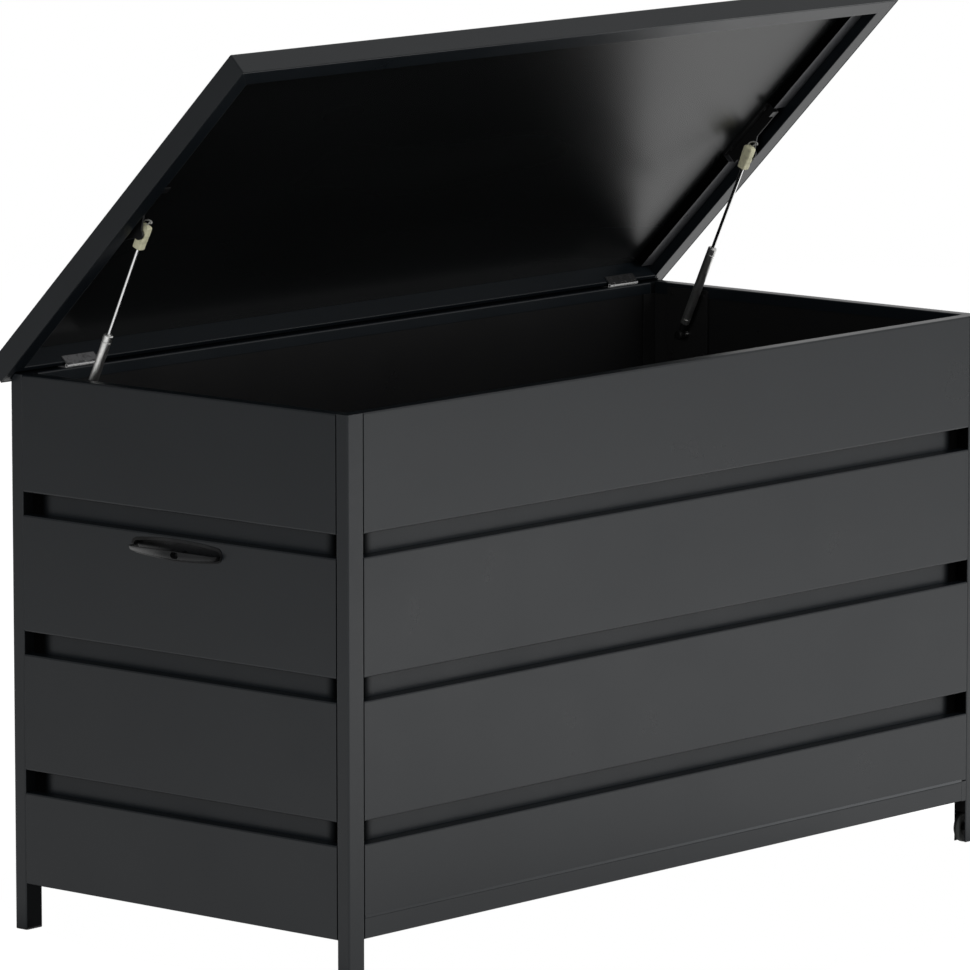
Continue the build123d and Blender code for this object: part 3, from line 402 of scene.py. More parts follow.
def post_side_shade(material, where):
    """Mask for painted shade on the posts' faces that look along the walls, from where the boards
    meet them.
    """
    masks = []
    for axis, board, depth in (("X", "front_board_top", 1.0), ("Y", "left_board_top", 0.75)):
        reach = half_length(board, axis)
        value = axis_value(material, where, axis, True)
        near = spread(material, value, reach + 0.6 * MM, reach + 1.2 * MM, 1.0, 0.0)
        square = spread(material, facing(material, axis), 0.4, 0.6, 0.0, depth)
        masks.append(multiply(material, near, square))
    return larger(material, *masks)


def groove_end_shade(axis, reach, fade):
    """Mask for painted shade that grows over the last stretch before a liner's two ends."""

    def mask(material, where):
        value = axis_value(material, where, axis, True)
        return spread(material, value, reach - fade, reach - 0.5 * fade, 0.0, 1.0)

    return mask


def gloss_panel(name, dark, settings):
    """Polished dark sheet that mirrors its surroundings, with faint wipe marks."""
    material, shader = new_material(name)
    where = place(material)
    wipes = noise(material, stretched(material, where, (1.5, 5.0, 5.0)), 1.0, 1.0)
    lighter = tuple(channel * 1.3 for channel in dark)
    wire(
        material,
        blend_colour(material, spread(material, wipes, 0.4, 0.7, 0.0, 1.0), dark, lighter),
        shader,
        "Base Color",
    )
    shader.inputs["Specular IOR Level"].default_value = settings.lining_gloss
    low = settings.lining_roughness
    wire(material, spread(material, wipes, 0.3, 0.7, low - 0.01, low + 0.01), shader, "Roughness")
    waves = noise(material, where, 2.0, 0.0)
    wire(material, bumped(material, waves, 1.0 * MM, 0.05), shader, "Normal")
    return material


def worn_metal(name, bright, dark, roughness, grain, metallic=1.0):
    """Plated or brushed metal with a grain, in streaks per metre by axis, and dull spots."""
    material, shader = new_material(name)
    where = place(material)
    soft = rounded(material, 0.4 * MM)
    streaks = noise(material, stretched(material, where, grain), 1.0, 4.0, 0.6)
    spots = noise(material, where, 160.0, 3.0)
    dull = multiply(material, spread(material, spots, 0.5, 0.75, 0.0, 1.0), 0.55)
    wire(material, blend_colour(material, dull, bright, dark), shader, "Base Color")
    wire(
        material,
        spread(material, streaks, 0.3, 0.7, roughness - 0.06, roughness + 0.08),
        shader,
        "Roughness",
    )
    shader.inputs["Metallic"].default_value = metallic
    wire(material, bumped(material, streaks, 0.02 * MM, 0.12, soft), shader, "Normal")
    return material


def moulded(name, pale, dark, roughness, grain=0.6 * MM):
    """Moulded plastic with a fine spark-eroded grain and uneven tone."""
    material, shader = new_material(name)
    where = place(material)
    soft = rounded(material, 0.5 * MM)
    tone = noise(material, where, 90.0, 4.0, 0.6)
    wire(
        material,
        blend_colour(material, spread(material, tone, 0.5, 0.8, 0.0, 0.8), pale, dark),
        shader,
        "Base Color",
    )
    wire(
        material,
        spread(material, tone, 0.3, 0.7, roughness - 0.05, roughness + 0.07),
        shader,
        "Roughness",
    )
    pits = noise(material, where, 1.0 / grain, 2.0)
    wire(material, bumped(material, pits, 0.04 * MM, 0.4, soft), shader, "Normal")
    return material


# ---- surfaces


def grid_mesh(name, points, closed_u=False, closed_v=False):
    """Mesh from a grid of points, rows by columns by three, joined into quads."""
    rows, columns = points.shape[:2]
    i, j = np.meshgrid(
        np.arange(rows if closed_u else rows - 1),
        np.arange(columns if closed_v else columns - 1),
        indexing="ij",
    )
    a = i * columns + j
    b = i * columns + (j + 1) % columns
    c = ((i + 1) % rows) * columns + (j + 1) % columns
    d = ((i + 1) % rows) * columns + j
    faces = np.stack([a, b, c, d], -1).reshape(-1, 4)
    mesh = bpy.data.meshes.new(name)
    mesh.from_pydata(points.reshape(-1, 3).tolist(), [], faces.tolist())
    mesh.polygons.foreach_set("use_smooth", np.ones(len(mesh.polygons), bool))
    mesh.update()
    return mesh


def tube_points(path, radius, sides):
    """Tube round a path.

    At each point the ring is path + radius * (cos a * N + sin a * B), where T is the path's
    unit tangent, N a fixed direction made square to T and B = T x N.
    """
    tangent = np.gradient(path, axis=0)
    tangent /= np.linalg.norm(tangent, axis=1, keepdims=True)
    fixed = np.linalg.svd(path - path.mean(0), full_matrices=False)[2][2]
    normal = fixed - (tangent @ fixed)[:, None] * tangent
    normal /= np.linalg.norm(normal, axis=1, keepdims=True)
    binormal = np.cross(tangent, normal)
    angle = np.linspace(0.0, 2.0 * np.pi, sides, endpoint=False)
    cosine, sine = np.cos(angle)[None, :, None], np.sin(angle)[None, :, None]
    return path[:, None] + radius * (cosine * normal[:, None] + sine * binormal[:, None])


def capped_tube(path, radius, sides=12):
    """Tube with round ends: rings shrink along a half circle beyond both ends of the path."""
    points = tube_points(path, radius, sides)
    bend = np.linspace(0.0, np.pi / 2, 4)[1:]
    ends = []
    for ring, centre, direction in (
        (points[0], path[0], path[0] - path[1]),
        (points[-1], path[-1], path[-1] - path[-2]),
    ):
        direction = direction / np.linalg.norm(direction)
        shrink = np.cos(bend)[:, None, None]
        push = (radius * np.sin(bend))[:, None, None] * direction
        ends.append(centre + shrink * (ring - centre)[None] + push)
    return np.concatenate([ends[0][::-1], points, ends[1]])


def bar_points(corners, radius, start, end, across, down):
    """Straight closed bar: a rounded polygon carried from start to end.

    The polygon's corners are (a, d) pairs; a point of the bar is path + a * across + d * down.
    Each corner becomes an arc of the radius, with a point on each side of it to keep the flats
    flat, and both ends close on their middles.
    """
    corners = np.asarray(corners, float)
    ring = []
    for k, corner in enumerate(corners):
        back = corners[k - 1] - corner
        ahead = corners[(k + 1) % len(corners)] - corner
        back, ahead = back / np.linalg.norm(back), ahead / np.linalg.norm(ahead)
        for t in (-1.4, -1.0, -0.6, -0.25):
            ring.append(corner - t * radius * back)
        for t in (0.25, 0.6, 1.0, 1.4):
            ring.append(corner + t * radius * ahead)
        for m in (-5, -4):
            blend = 0.5 + 0.25 * (m + 4.5)
            ring[m] = ring[m] * 0.82 + 0.18 * (corner + 0.5 * radius * (back + ahead) * blend)
    ring = np.array(ring)
    middle = ring.mean(0)
    flat = ring[:, :1] * across + ring[:, 1:] * down
    hub = middle[0] * across + middle[1] * down
    rows = [np.repeat((start + hub)[None], len(ring), 0)]
    rows += [start + hub + (flat - hub) * 0.98]
    for t in (0.0, 0.002, 0.998, 1.0):
        rows.append(start + (end - start) * t + flat)
    rows += [end + hub + (flat - hub) * 0.98]
    rows.append(np.repeat((end + hub)[None], len(ring), 0))
    return np.array(rows)


def add_piece(name, meshes, material, body):
    """One object from several grid meshes, merged, with faces outwards, riding on a body."""
    whole = bmesh.new()
    for mesh in meshes:
        whole.from_mesh(mesh)
        bpy.data.meshes.remove(mesh)
    bmesh.ops.remove_doubles(whole, verts=whole.verts, dist=1e-6)
    bmesh.ops.recalc_face_normals(whole, faces=whole.faces)
    mesh = bpy.data.meshes.new(name)
    whole.to_mesh(mesh)
    whole.free()
    mesh.polygons.foreach_set("use_smooth", np.ones(len(mesh.polygons), bool))
    mesh.materials.append(material)
    piece = bpy.data.objects.new(name, mesh)
    bpy.context.scene.collection.objects.link(piece)
    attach(piece, body)
    return piece


# ---- places on the frame


def joint(name):
    """A joint of the frame by its name."""
    return [entry for entry in frame["joints"] if entry["name"] == name][0]


def half_length(node, axis):
    """Half of a CAD node's length along an axis."""
    low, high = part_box(node)
    index = "XYZ".index(axis)
    return (high[index] - low[index]) / 2


def ball_centres():
    """Centres of the lower and upper balls on the side facing +X, as arrays."""
    centres = []
    for node in ("lower_ball_studs", "right_upper_stud"):
        low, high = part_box(node)
        side = joint("right_strut_pivot")["pos_m"][0]
        centres.append(np.array([side, (low.y + high.y) / 2, (low.z + high.z) / 2]))
    return centres


def lid_frame():
    """Unit vectors of the open lid: along it to its front edge, and out of its underside."""
    opened = -math.radians(joint("lid_hinge")["range_deg"][0])
    along = np.array([0.0, -math.cos(opened), math.sin(opened)])
    below = np.array([0.0, -math.sin(opened), -math.cos(opened)])
    return along, below


def stretch(node, direction):
    """Smallest and largest distance of a CAD node's corners along a direction."""
    mesh = frame["nodes"][node].data
    reach = [float(np.dot(vertex.co, direction)) for vertex in mesh.vertices]
    return min(reach), max(reach)


def strut_frame(side):
    """Upper ball, strut's line L, stud's direction X and A = side * (L x X).

    The side is -1 for the left strut and 1 for the right one.
    """
    lower, upper = (centre * (side, 1, 1) for centre in ball_centres())
    line = upper - lower
    line = line / np.linalg.norm(line)
    stud = np.array([float(side), 0.0, 0.0])
    return upper, line, stud, np.cross(line, stud) * side


# ---- operators


class CHEST_OT_shell(bpy.types.Operator):
    """Finish the posts, rails, boards and lid in satin coat and lay the front bead, pale as a
    painted highlight along the front seam
    """

    bl_idname = "chest.shell"
    bl_label = "Shell"

    def execute(self, context):
        paint = context.scene.chest_paint
        tones = (paint.coat, paint.coat_light, paint.edge, paint.coat_roughness, paint)
        coat = powder_coat("satin_coat", *tones)
        dress(coat, *nodes_named("rail", "_board_", "lid_skin", "lid_member"))
        dress(coat, "floor_joists")
        # posts: painted shade on their side faces that look along the walls
        dress(powder_coat("post_coat", *tones, post_side_shade), *nodes_named("posts"))
        self.bead(context.scene.chest_fitting, self.bead_highlight_coat(tones, paint))
        return {"FINISHED"}

    def bead_highlight_coat(self, tones, paint):
        """The coat with a painted highlight, paler along the front towards the rollers."""
        coat = powder_coat("bead_highlight_coat", *tones)
        bevel = [node for node in coat.node_tree.nodes if node.type == "BEVEL"][0]
        bevel.inputs["Radius"].default_value = paint.bead_bevel
        # painted highlight: the bead grows paler towards the rollers
        highlight_share = spread(coat, axis_value(coat, place(coat), "X"), -0.6, 0.7, 0.0, 1.0)
        tone = blend_colour(coat, highlight_share, paint.edge, paint.bead)
        wire(coat, tone, shader_of(coat), "Base Color")
        return coat

    def bead(self, fitting, coat):
        """Straight flat bead that fills the lowest front board's bottom fold, over the rail, pale
        as a painted highlight along that seam.
        """
        board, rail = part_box("front_board_bottom"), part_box("front_rail")
        level = rail[1].z + 0.4 * fitting.bead_height
        half, proud = fitting.bead_height / 2, fitting.bead_proud
        deep = -fitting.bead_depth
        corners = [(deep, half), (proud, half), (proud, -half), (deep, -half)]
        run = bar_points(
            corners,
            0.5 * proud,
            np.array([board[0].x, board[0].y, level]),
            np.array([rail[1].x, board[0].y, level]),
            np.array([0.0, -1.0, 0.0]),
            np.array([0.0, 0.0, -1.0]),
        )
        mesh = grid_mesh("bead", run, closed_v=True)
        add_piece("front_bead", [mesh], coat, "chest")


class CHEST_OT_inside(bpy.types.Operator):
    """Finish the liners, floor, angles, brackets and lining, with painted shade at the grooves'
    ends, and add the lid's ledges with a painted highlight
    """

    bl_idname = "chest.inside"
    bl_label = "Inside"

    def execute(self, context):
        paint = context.scene.chest_paint
        dark = (paint.inside, paint.inside_light, paint.coat)
        coat = powder_coat("inner_coat", *dark, paint.inside_roughness, paint)
        dress(coat, "corner_angles", "floor_panel")
        for node, along, across in (
            ("front_liner", "X", "Y"),
            ("rear_liner", "X", "Y"),
            ("end_liners", "Y", "X"),
        ):
            dress(self.liner(node, along, across, paint), node)
        coat = powder_coat("bracket_coat", *dark, paint.bracket_roughness, paint)
        dress(coat, *nodes_named("brackets"))
        dress(gloss_panel("lid_gloss", paint.lining, paint), "lid_lining")
        # ledges: pale colour as a painted highlight, and painted shade on their faces that look
        # along the chest
        coat = powder_coat(
            "ledge_highlight_coat",
            paint.ledge,
            paint.ledge,
            paint.edge,
            paint.bracket_roughness,
            paint,
            self.ledge_side_shade,
            paint.ledge_gloss,
        )
        self.ledges(context.scene.chest_fitting, coat)
        return {"FINISHED"}

    def ledge_side_shade(self, material, where):
        """Mask of the faces that look along the chest, which get painted shade."""
        return spread(material, facing(material, "X"), 0.4, 0.7, 0.0, 1.0)

    def ledges(self, fitting, coat):
        """Flat bars beside the lid's side members, either side of each strut bracket."""
        along, below = lid_frame()
        panel = stretch("lid_lining", below)[1]
        under = stretch("lid_member_right", below)[1] - fitting.ledge_drop
        rear = stretch("lid_member_rear", along)[1]
        front = stretch("lid_member_front", along)[0]
        plate = stretch("strut_lid_brackets", along)
        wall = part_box("lid_member_right")[0].x
        for side, word in ((-1, "left"), (1, "right")):
            across = np.array([-float(side), 0.0, 0.0])
            width = fitting.ledge_width
            corners = [(0.0, panel), (0.0, under), (width, under), (width, panel)]
            bars = []
            for low, high in (
                (rear + fitting.ledge_start, plate[0] - fitting.ledge_room),
                (plate[1] + fitting.ledge_room, front),
            ):
                start = -wall * across + low * along
                end = start + (high - low) * along
                bar = bar_points(corners, fitting.ledge_corner, start, end, across, below)
                bars.append(grid_mesh("bar", bar, closed_v=True))
            add_piece(f"{word}_lid_ledges", bars, coat, "lid")

    def liner(self, node, along, across, paint):
        """Coat on the side seen in the grooves, painted as shade near the grooves' ends, and dark
        paint on the side in the chest.
        """
        low, high = (np.array(corner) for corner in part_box(node))
        axis = "XYZ".index(across)
        thick = self.thickness(node, axis)
        wall = max(abs(low[axis]), abs(high[axis])) - thick / 2
        reach = half_length("front_board_top" if along == "X" else "left_board_top", along)

        # painted shade at the grooves' ends, only on the side seen in the grooves
        def mask(material, where):
            ends = groove_end_shade(along, reach, paint.recess_fade)(material, where)
            return multiply(material, ends, outside(material, where))

        def outside(material, where):
            value = axis_value(material, where, across, True)
            return spread(material, value, wall, wall + 0.1 * MM, 0.0, 1.0)

        coat = powder_coat(
            f"{node}_coat",
            paint.coat,
            paint.coat_light,
            paint.edge,
            paint.coat_roughness,
            paint,
            mask,
            paint.liner_gloss,
        )
        shader = shader_of(coat)
        base = shader.inputs["Base Color"].links[0].from_socket
        tone = blend_colour(coat, outside(coat, place(coat)), paint.inside, base)
        wire(coat, tone, shader, "Base Color")
        return coat

    def thickness(self, node, axis):
        """Sheet thickness: the gap between the two outermost levels of the node's corners."""
        mesh = frame["nodes"][node].data
        values = sorted({round(abs(vertex.co[axis]), 6) for vertex in mesh.vertices})
        return values[-1] - values[0]


class CHEST_OT_struts(bpy.types.Operator):
    """Finish the gas struts and mould the blocks and clips at their upper ends"""

    bl_idname = "chest.struts"
    bl_label = "Gas struts"

    def execute(self, context):
        metal = context.scene.chest_metal
        fitting = context.scene.chest_fitting
        tube = worn_metal("strut_tube_satin", metal.tube, metal.tube_dark, 0.42, (400, 40, 40))
        rod = worn_metal("strut_rod_polish", metal.chrome, metal.tube, 0.22, (300, 30, 30))
        cup = moulded("socket_cream", metal.socket, metal.socket_dark, 0.5)
        black = moulded("socket_black", metal.plastic, metal.plastic_light, 0.5)
        zinc = worn_metal("bright_zinc", metal.zinc, metal.leaf, 0.32, (200, 200, 200))
        spring = moulded("spring_clip", metal.clip, metal.leaf, 0.35)
        dress(tube, *nodes_named("strut_tube"))
        dress(rod, *nodes_named("strut_rod"))
        dress(cup, *nodes_named("upper_socket"))
        dress(black, *nodes_named("lower_socket"))
        dress(zinc, *nodes_named("ball_studs", "upper_stud"))
        for side, word in ((-1, "left"), (1, "right")):
            spot, body = strut_frame(side), f"{word}_rod"
            mesh = self.block(*spot, fitting)
            block = add_piece(f"{word}_upper_block", [mesh], cup, body)
            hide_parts(f"{word}_upper_socket")
            wires = self.clip(*spot, fitting)
            add_piece(f"{word}_upper_clip", wires, spring, body)
        return {"FINISHED"}

    def block(self, ball, line, stud, across, fitting):
        """Moulded socket: a rounded box swept up the strut.

        At height s above the ball the section is
        ball + s * L + D(s) * c(a) * X + W(s) * k(a) * A, with the directions of strut_frame.
        c and k are the cosine and sine with their sizes raised to the power 0.4, which
        squares the corners. W steps out twice on the way up, and both close over a dome.
        From below the ball upwards D is cut back on the stud's side.
        """
        low, high = -fitting.block_floor, fitting.block_top
        t = np.linspace(0.0, 1.0, 61)
        s = low + (high - low) * t
        squeeze = self.dome(s - high, 5.0 * MM)
        foot = self.dome(low - s, 2.0 * MM)
        steps = 0.5 + 0.5 * np.tanh((s + 12.0 * MM) / (0.8 * MM))
        steps += 0.5 + 0.5 * np.tanh((s + 2.0 * MM) / (0.8 * MM))
        wide = fitting.block_width + fitting.block_step * (steps - 1.0)
        wide = wide * squeeze * (0.75 + 0.25 * foot)
        deep = fitting.block_depth * squeeze * (0.75 + 0.25 * foot)
        angle = np.linspace(0.0, 2.0 * np.pi, 48, endpoint=False)
        cosine, sine = np.cos(angle), np.sin(angle)
        c = np.sign(cosine) * np.abs(cosine) ** 0.4
        k = np.sign(sine) * np.abs(sine) ** 0.4
        notch = 0.12 * (1.0 + np.tanh((s + 6.0 * MM) / (0.9 * MM)))
        reach = deep[:, None] * c[None] * (1.0 - notch[:, None] * (c[None] > 0))
        points = (
            ball
            + s[:, None, None] * line
            + reach[..., None] * stud
            + (wide[:, None] * k[None])[..., None] * across
        )
        return grid_mesh("block", points, closed_v=True)

    def dome(self, past, radius):
        """Quarter circle: 1 until a radius before zero, then down to 0 at zero."""
        share_of_radius = np.clip((past + radius) / radius, 0, 1)
        return np.sqrt(np.clip(1.0 - share_of_radius**2, 0, 1))

    def clip(self, ball, line, stud, across, fitting):
        """Spring clips: a wire that climbs from the block's back edge, bends over its top and
        curls back at its end, and a short prop under it.

        The wires pass smoothly through points (a, s): a against A, s up the strut from the
        ball, both in millimetres.
        """
        wires = []
        for spots in (
            (
                (-7.6, 8), (-7.4, 14), (-5.5, 19), (-1.5, 23), (4, 25.6),
                (8.5, 26), (10, 24), (8.8, 22.4), (7.4, 23),
            ),
            ((1.0, 14), (3.0, 17.5), (5.2, 20.5), (6.2, 23.5)),
        ):
            run = self.smooth(np.array(spots, float) * MM)
            path = ball + run[:, 1:2] * line - run[:, 0:1] * across
            path = path + 0.2 * fitting.block_depth * stud
            wires.append(grid_mesh("clip", capped_tube(path, fitting.clip_wire), closed_v=True))
        return wires

    def smooth(self, knots):
        """Curve through points a, b, c, d: between b and c it is half of
        2b + (c - a) t + (2a - 5b + 4c - d) t^2 + (3b - a - 3c + d) t^3, with t from 0 to 1."""
        before, after = 2 * knots[:1] - knots[1:2], 2 * knots[-1:] - knots[-2:-1]
        knots = np.concatenate([before, knots, after])
        t = np.linspace(0.0, 1.0, 6, endpoint=False)[:, None]
        run = []
        for k in range(1, len(knots) - 2):
            a, b, c, d = knots[k - 1 : k + 3]
            square, cube = 2 * a - 5 * b + 4 * c - d, 3 * b - a - 3 * c + d
            run.append(0.5 * (2 * b + (c - a) * t + square * t**2 + cube * t**3))
        return np.concatenate(run + [knots[-2:-1]])


class CHEST_OT_hinges(bpy.types.Operator):
    """Finish the hinges and screws"""

    bl_idname = "chest.hinges"
    bl_label = "Hinges and screws"

    def execute(self, context):
        metal = context.scene.chest_metal
        fitting = context.scene.chest_fitting
        dress(self.leaves(metal, fitting), "hinge_chest_leaves", "hinge_lid_leaves")
        zinc = worn_metal("pin_zinc", metal.zinc, metal.leaf, 0.3, (300, 300, 300))
        dress(zinc, "hinge_pins", "wheel_axles")
        black = worn_metal("screw_black", metal.screw, metal.plastic, 0.45, (300, 300, 300), 0.2)
        where = place(black)
        near = self.near_hinge(black, where, fitting.leaf_reach, fitting.leaf_fade)
        towards_rollers = self.towards_rollers(black, where)
        recolour(black, near, blend_colour(black, towards_rollers, metal.leaf, metal.plastic_light))
        dress(black, "chest_screws", "lid_screws")
        return {"FINISHED"}

    def near_hinge(self, material, where, inner, outer):
        """1 within the inner distance of the hinge line, falling to 0 at the outer one."""

        def combine(operation, first, second):
            node = put(
                material, "ShaderNodeVectorMath", {0: first, 1: second}, operation=operation
            )
            return node.outputs[0]

        offset = combine("SUBTRACT", where, joint("lid_hinge")["pos_m"])
        flat = combine("MULTIPLY", offset, (0.0, 1.0, 1.0))
        span = put(material, "ShaderNodeVectorMath", {0: flat}, operation="LENGTH")
        return spread(material, span.outputs["Value"], inner, outer, 1.0, 0.0)

    def towards_rollers(self, material, where):
        """0 at the handle's end, 0.8 at the rollers' end, where the hinge and its screws are
        coloured darker and duller.
        """
        return spread(material, axis_value(material, where, "X"), -0.1, 0.1, 0.0, 0.8)

    def leaves(self, metal, fitting):
        """Satin leaves. The knuckles, close to the hinge line, get a painted highlight: they are
        coloured bright on their lower front, in patches.
        """
        material = worn_metal("hinge_leaf", metal.leaf, metal.plastic, 0.4, (60, 400, 400), 0.3)
        where = place(material)
        near = self.near_hinge(material, where, fitting.knuckle_glint, fitting.knuckle_glint_fade)
        highlight_share = noise(material, where, 260.0, 3.0)
        near = multiply(material, near, spread(material, highlight_share, 0.3, 0.45, 0.4, 1.0))
        # painted highlight: the knuckles' faces that look down and forward are coloured bright
        front = spread(material, facing(material, "Z", False), 0.45, 0.15, 0.0, 1.0)
        towards_rollers = self.towards_rollers(material, where)
        level = spread(material, towards_rollers, 0.0, 0.8, 0.5, 0.15)
        wire(material, level, shader_of(material), "Specular IOR Level")
        recolour(material, towards_rollers, metal.plastic_light)
        recolour(material, multiply(material, near, front), metal.knuckle_glint)
        return material


class CHEST_OT_handle(bpy.types.Operator):
    """Finish the recessed handle, with a painted highlight on the lip towards +Y and painted shade
    in the hollow towards +Y and over the end towards -Y
    """

    bl_idname = "chest.handle"
    bl_label = "Handle"

    def execute(self, context):
        metal = context.scene.chest_metal
        grip = moulded("handle_moulding", metal.grip, metal.plastic, 0.3)
        where = place(grip)
        low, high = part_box("handle")
        middle = (low.z + high.z) / 2
        along = axis_value(grip, where, "Y")
        height = axis_value(grip, where, "Z")

        def fade(value, first, last):
            return spread(grip, value, first, last, 0.0, 1.0)

        lip = fade(height, middle, middle - 4.0 * MM)
        hollow = fade(height, middle - 2.0 * MM, middle + 2.0 * MM)
        # painted highlight: the lip is coloured pale towards +Y
        highlight_mask = multiply(grip, fade(along, high.y - 0.075, high.y - 0.005), lip)
        # painted shade: the hollow towards +Y and the end towards -Y are coloured black
        dull = multiply(grip, fade(along, high.y - 0.08, high.y - 0.03), hollow)
        end = spread(grip, along, low.y + 0.004, low.y + 0.035, 0.5, 0.0)
        shaded = larger(grip, dull, end)
        recolour(grip, highlight_mask, metal.grip_highlight)
        recolour(grip, shaded, metal.plastic)
        level = multiply(
            grip,
            spread(grip, shaded, 0.0, 1.0, 1.0, 0.3),
            spread(grip, along, high.y - 0.09, high.y - 0.01, 0.22, 0.75),
        )
        wire(grip, level, shader_of(grip), "Specular IOR Level")
        dress(grip, "handle")
        return {"FINISHED"}


class CHEST_OT_rollers(bpy.types.Operator):
    """Finish the rollers, their blocks and the feet of the posts"""

    bl_idname = "chest.rollers"
    bl_label = "Rollers and feet"

    def execute(self, context):
        metal = context.scene.chest_metal
        block = moulded("block_moulding", metal.plastic, metal.plastic_light, 0.6)
        shader_of(block).inputs["Specular IOR Level"].default_value = 0.08
        hub = moulded("hub_moulding", metal.hub, metal.plastic, 0.4)
        dress(block, "wheel_forks")
        dress(moulded("foot_moulding", metal.plastic, metal.grip, 0.5), "post_feet")
        dress(self.tyre(metal), "front_tyre", "rear_tyre")
        dress(hub, "front_hub", "rear_hub")
        return {"FINISHED"}

    def tyre(self, metal):
        """Black tread and paler side walls, told apart by which way the surface faces."""
        tyre = moulded("tyre_rubber", metal.tyre, metal.plastic_light, 0.6)
        side = spread(tyre, facing(tyre, "Y"), 0.6, 0.8, 0.0, 1.0)
        recolour(tyre, side, metal.tyre_side)
        return tyre


class CHEST_OT_stage(bpy.types.Operator):
    """Lay the floor, light the room and stand the camera"""

    bl_idname = "chest.stage"
    bl_label = "Floor, lamps and camera"

    def execute(self, context):
        stage = context.scene.chest_stage
        self.floor(context, stage)
        self.room(context, stage)
        self.lamps(context, stage)
        self.camera(context, stage)
        context.scene.view_settings.view_transform = "Standard"
        return {"FINISHED"}

    def floor(self, context, stage):
        """Round floor: rings of points at radius r and angle a, faded out towards its edge.

        The camera sees a white floor with the chest's shadow on it; reflections see its glow cut
        away under the chest, a painted shadow. The light that the floor throws back on the chest
        comes from a darker floor.
        """
        radius = np.linspace(0.0, stage.floor_radius, 12)[1:]
        angle = np.linspace(0.0, 2 * np.pi, 96, endpoint=False)
        rings = np.stack(
            [
                radius[:, None] * np.cos(angle),
                radius[:, None] * np.sin(angle),
                np.zeros((len(radius), len(angle))),
            ],
            -1,
        )
        mesh = grid_mesh("floor", rings, closed_v=True)
        material = bpy.data.materials.new("pale_floor")
        material.use_nodes = True
        tree = material.node_tree
        tree.nodes.clear()
        where = place(material)
        grain = noise(material, where, 40.0, 3.0)
        pale = blend_colour(
            material, grain, stage.floor_colour, tuple(c * 0.985 for c in stage.floor_colour)
        )
        camera, mirrored = self.seen(material)
        shade = blend_colour(material, larger(material, camera, mirrored), stage.floor_bounce, pale)
        matt = put(material, "ShaderNodeBsdfDiffuse", {"Color": shade})
        across = axis_value(material, where, "X")
        side = spread(material, across, -1.2, 0.8, stage.mirror_left, stage.mirror_right)
        mirror = multiply(material, mirrored, side)
        # painted shadow: reflections see no glow on the floor under the chest
        mirror = multiply(material, mirror, self.outside_painted_shadow(material, where))
        strength = larger(material, multiply(material, camera, stage.floor_glow), mirror)
        glow = put(material, "ShaderNodeEmission", {"Strength": strength})
        lit = put(material, "ShaderNodeAddShader", {0: matt.outputs[0], 1: glow.outputs[0]})
        clear = put(material, "ShaderNodeBsdfTransparent")
        span = put(material, "ShaderNodeVectorMath", {0: where}, operation="LENGTH")
        inner, outer = stage.floor_radius * 0.35, stage.floor_radius * 0.9
        edge = spread(material, span.outputs["Value"], inner, outer, 0.0, 1.0)
        mix = put(
            material, "ShaderNodeMixShader", {0: edge, 1: lit.outputs[0], 2: clear.outputs[0]}
        )
        out = put(material, "ShaderNodeOutputMaterial")
        wire(material, mix.outputs[0], out, "Surface")
        mesh.materials.append(material)
        floor = bpy.data.objects.new("floor", mesh)
        context.scene.collection.objects.link(floor)

    def seen(self, owner):
        """Two values: 1 for the camera, and 1 for reflections and light that passes through."""
        path = put(owner, "ShaderNodeLightPath").outputs
        through = larger(owner, path["Is Glossy Ray"], path["Is Transmission Ray"])
        return path["Is Camera Ray"], through

    def outside_painted_shadow(self, material, where):
        """0 on the floor under the chest, rising to 1 a hand's breadth outside its sides: a painted
        shadow of the chest in the glow that reflections see.
        """
        outside = []
        for axis, wall in (("X", CAD_BOX[1][0]), ("Y", 0.35)):
            value = axis_value(material, where, axis, True)
            outside.append(spread(material, value, wall - 0.05, wall + 0.15, 0.0, 1.0))
        return larger(material, *outside)

    def room(self, context, stage):
        """White for the camera; reflections see it paler on the right than left and overhead."""
        world = bpy.data.worlds.new("room")
        world.use_nodes = True
        world.node_tree.nodes.clear()
        where = put(world, "ShaderNodeTexCoord").outputs["Generated"]
        across = axis_value(world, where, "X")
        side = spread(world, across, -0.7, 0.3, stage.mirror_left, stage.mirror_right)
        top = spread(world, axis_value(world, where, "Z"), 0.15, 0.7, 1.0, stage.mirror_top)
        back = spread(world, axis_value(world, where, "Y"), 0.35, 0.8, 1.0, stage.mirror_back)
        camera, mirrored = self.seen(world)
        mirror = multiply(world, multiply(world, mirrored, back), multiply(world, side, top))
        strength = larger(world, larger(world, camera, mirror), stage.sky)
        light = put(
            world, "ShaderNodeBackground", {"Color": (1.0, 1.0, 1.0, 1.0), "Strength": strength}
        )
        out = put(world, "ShaderNodeOutputWorld")
        wire(world, light.outputs[0], out, "Surface")
        context.scene.world = world

    def lamps(self, context, stage):
        """Large soft lamps: one low in front, one beyond the handle's end."""
        for name, where, aim, size, power in (
            ("front_lamp", (1.9, -4.6, 1.9), (0.1, 0.0, 0.5), 3.0, stage.key),
            ("end_lamp", (-4.6, -1.2, 1.6), (-0.6, 0.0, 0.5), 2.4, stage.side),
        ):
            lamp = bpy.data.lights.new(name, "AREA")
            lamp.energy = power
            lamp.shape = "DISK"
            lamp.size = size
            holder = bpy.data.objects.new(name, lamp)
            holder.location = where
            line = Vector(aim) - Vector(where)
            holder.rotation_euler = line.to_track_quat("-Z", "Y").to_euler()
            holder.visible_glossy = False
            context.scene.collection.objects.link(holder)

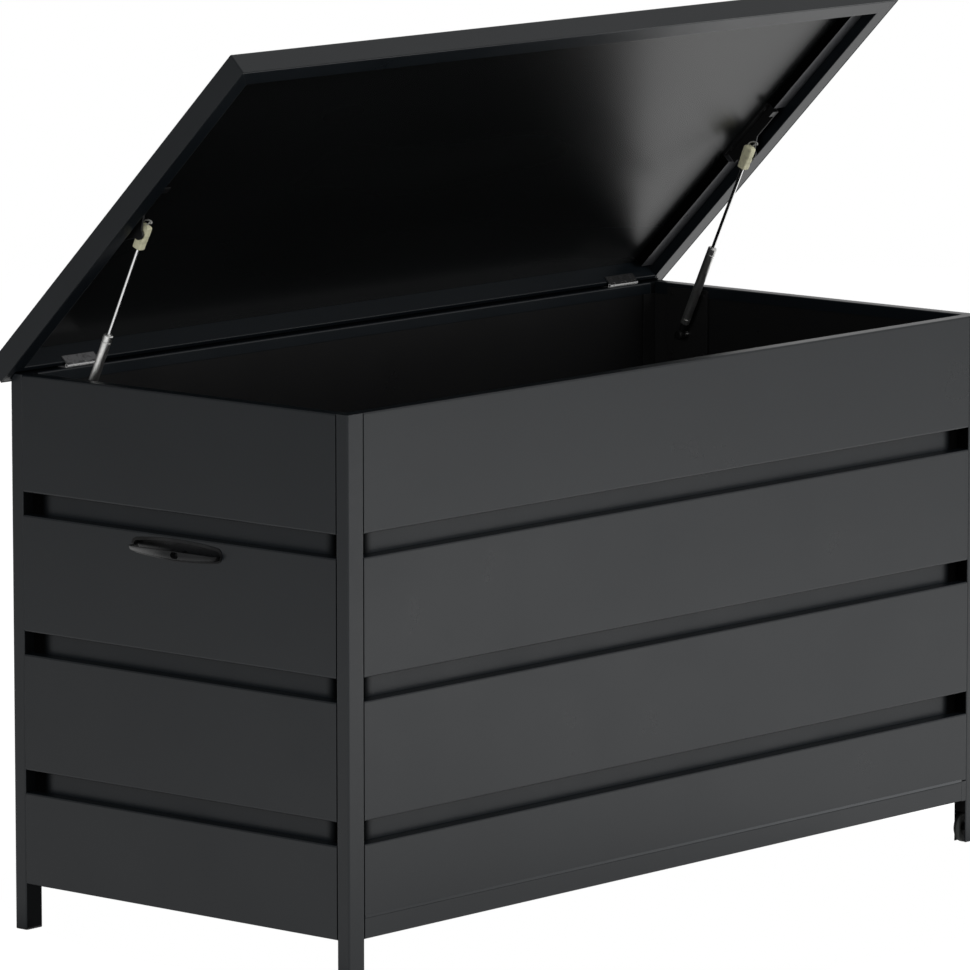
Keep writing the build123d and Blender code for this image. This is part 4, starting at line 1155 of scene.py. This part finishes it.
    def camera(self, context, stage):
        """Camera turned by yaw, tilted by pitch and rolled, at a distance from its aim."""
        forward = Vector(
            (
                math.sin(stage.yaw) * math.cos(stage.pitch),
                math.cos(stage.yaw) * math.cos(stage.pitch),
                -math.sin(stage.pitch),
            )
        )
        right = Vector((math.cos(stage.yaw), -math.sin(stage.yaw), 0.0))
        up = right.cross(forward)
        level, tip = math.cos(stage.roll), math.sin(stage.roll)
        right, up = level * right + tip * up, level * up - tip * right
        turned = Matrix((right, up, -forward)).transposed().to_4x4()
        data = bpy.data.cameras.new("camera")
        data.sensor_width = 36.0
        data.lens = stage.lens
        data.clip_end = 100.0
        holder = bpy.data.objects.new("camera", data)
        eye = Vector(stage.aim) - forward * stage.distance
        holder.matrix_world = Matrix.Translation(eye) @ turned
        context.scene.collection.objects.link(holder)
        context.scene.camera = holder


class CHEST_PT_panel(bpy.types.Panel):
    """Steps and settings of the chest"""

    bl_idname = "CHEST_PT_panel"
    bl_label = "Chest"
    bl_space_type = "VIEW_3D"
    bl_region_type = "UI"
    bl_category = "Chest"

    def draw(self, context):
        for step in STEPS:
            self.layout.operator(step.bl_idname)
        for name in SETTINGS:
            group = getattr(context.scene, name)
            box = self.layout.box()
            for key in group.bl_rna.properties.keys():
                if key not in ("rna_type", "name"):
                    box.prop(group, key)


SETTINGS = {
    "chest_paint": ChestPaintSettings,
    "chest_metal": ChestMetalSettings,
    "chest_fitting": ChestFittingSettings,
    "chest_stage": ChestStageSettings,
}
STEPS = (
    CHEST_OT_shell,
    CHEST_OT_inside,
    CHEST_OT_struts,
    CHEST_OT_hinges,
    CHEST_OT_handle,
    CHEST_OT_rollers,
    CHEST_OT_stage,
)


def register():
    """Adds the classes and hangs the settings on the scene."""
    for group in SETTINGS.values():
        bpy.utils.register_class(group)
    for cls in (*STEPS, CHEST_PT_panel):
        bpy.utils.register_class(cls)
    for name, group in SETTINGS.items():
        setattr(bpy.types.Scene, name, bpy.props.PointerProperty(type=group))


def unregister():
    """Takes the settings and classes away again."""
    for name in SETTINGS:
        delattr(bpy.types.Scene, name)
    for cls in (CHEST_PT_panel, *reversed(STEPS), *SETTINGS.values()):
        bpy.utils.unregister_class(cls)


def main():
    """Runs every step in order."""
    register()
    for step in STEPS:
        group, name = step.bl_idname.split(".")
        getattr(getattr(bpy.ops, group), name)()


if __name__ == "__main__":
    main()
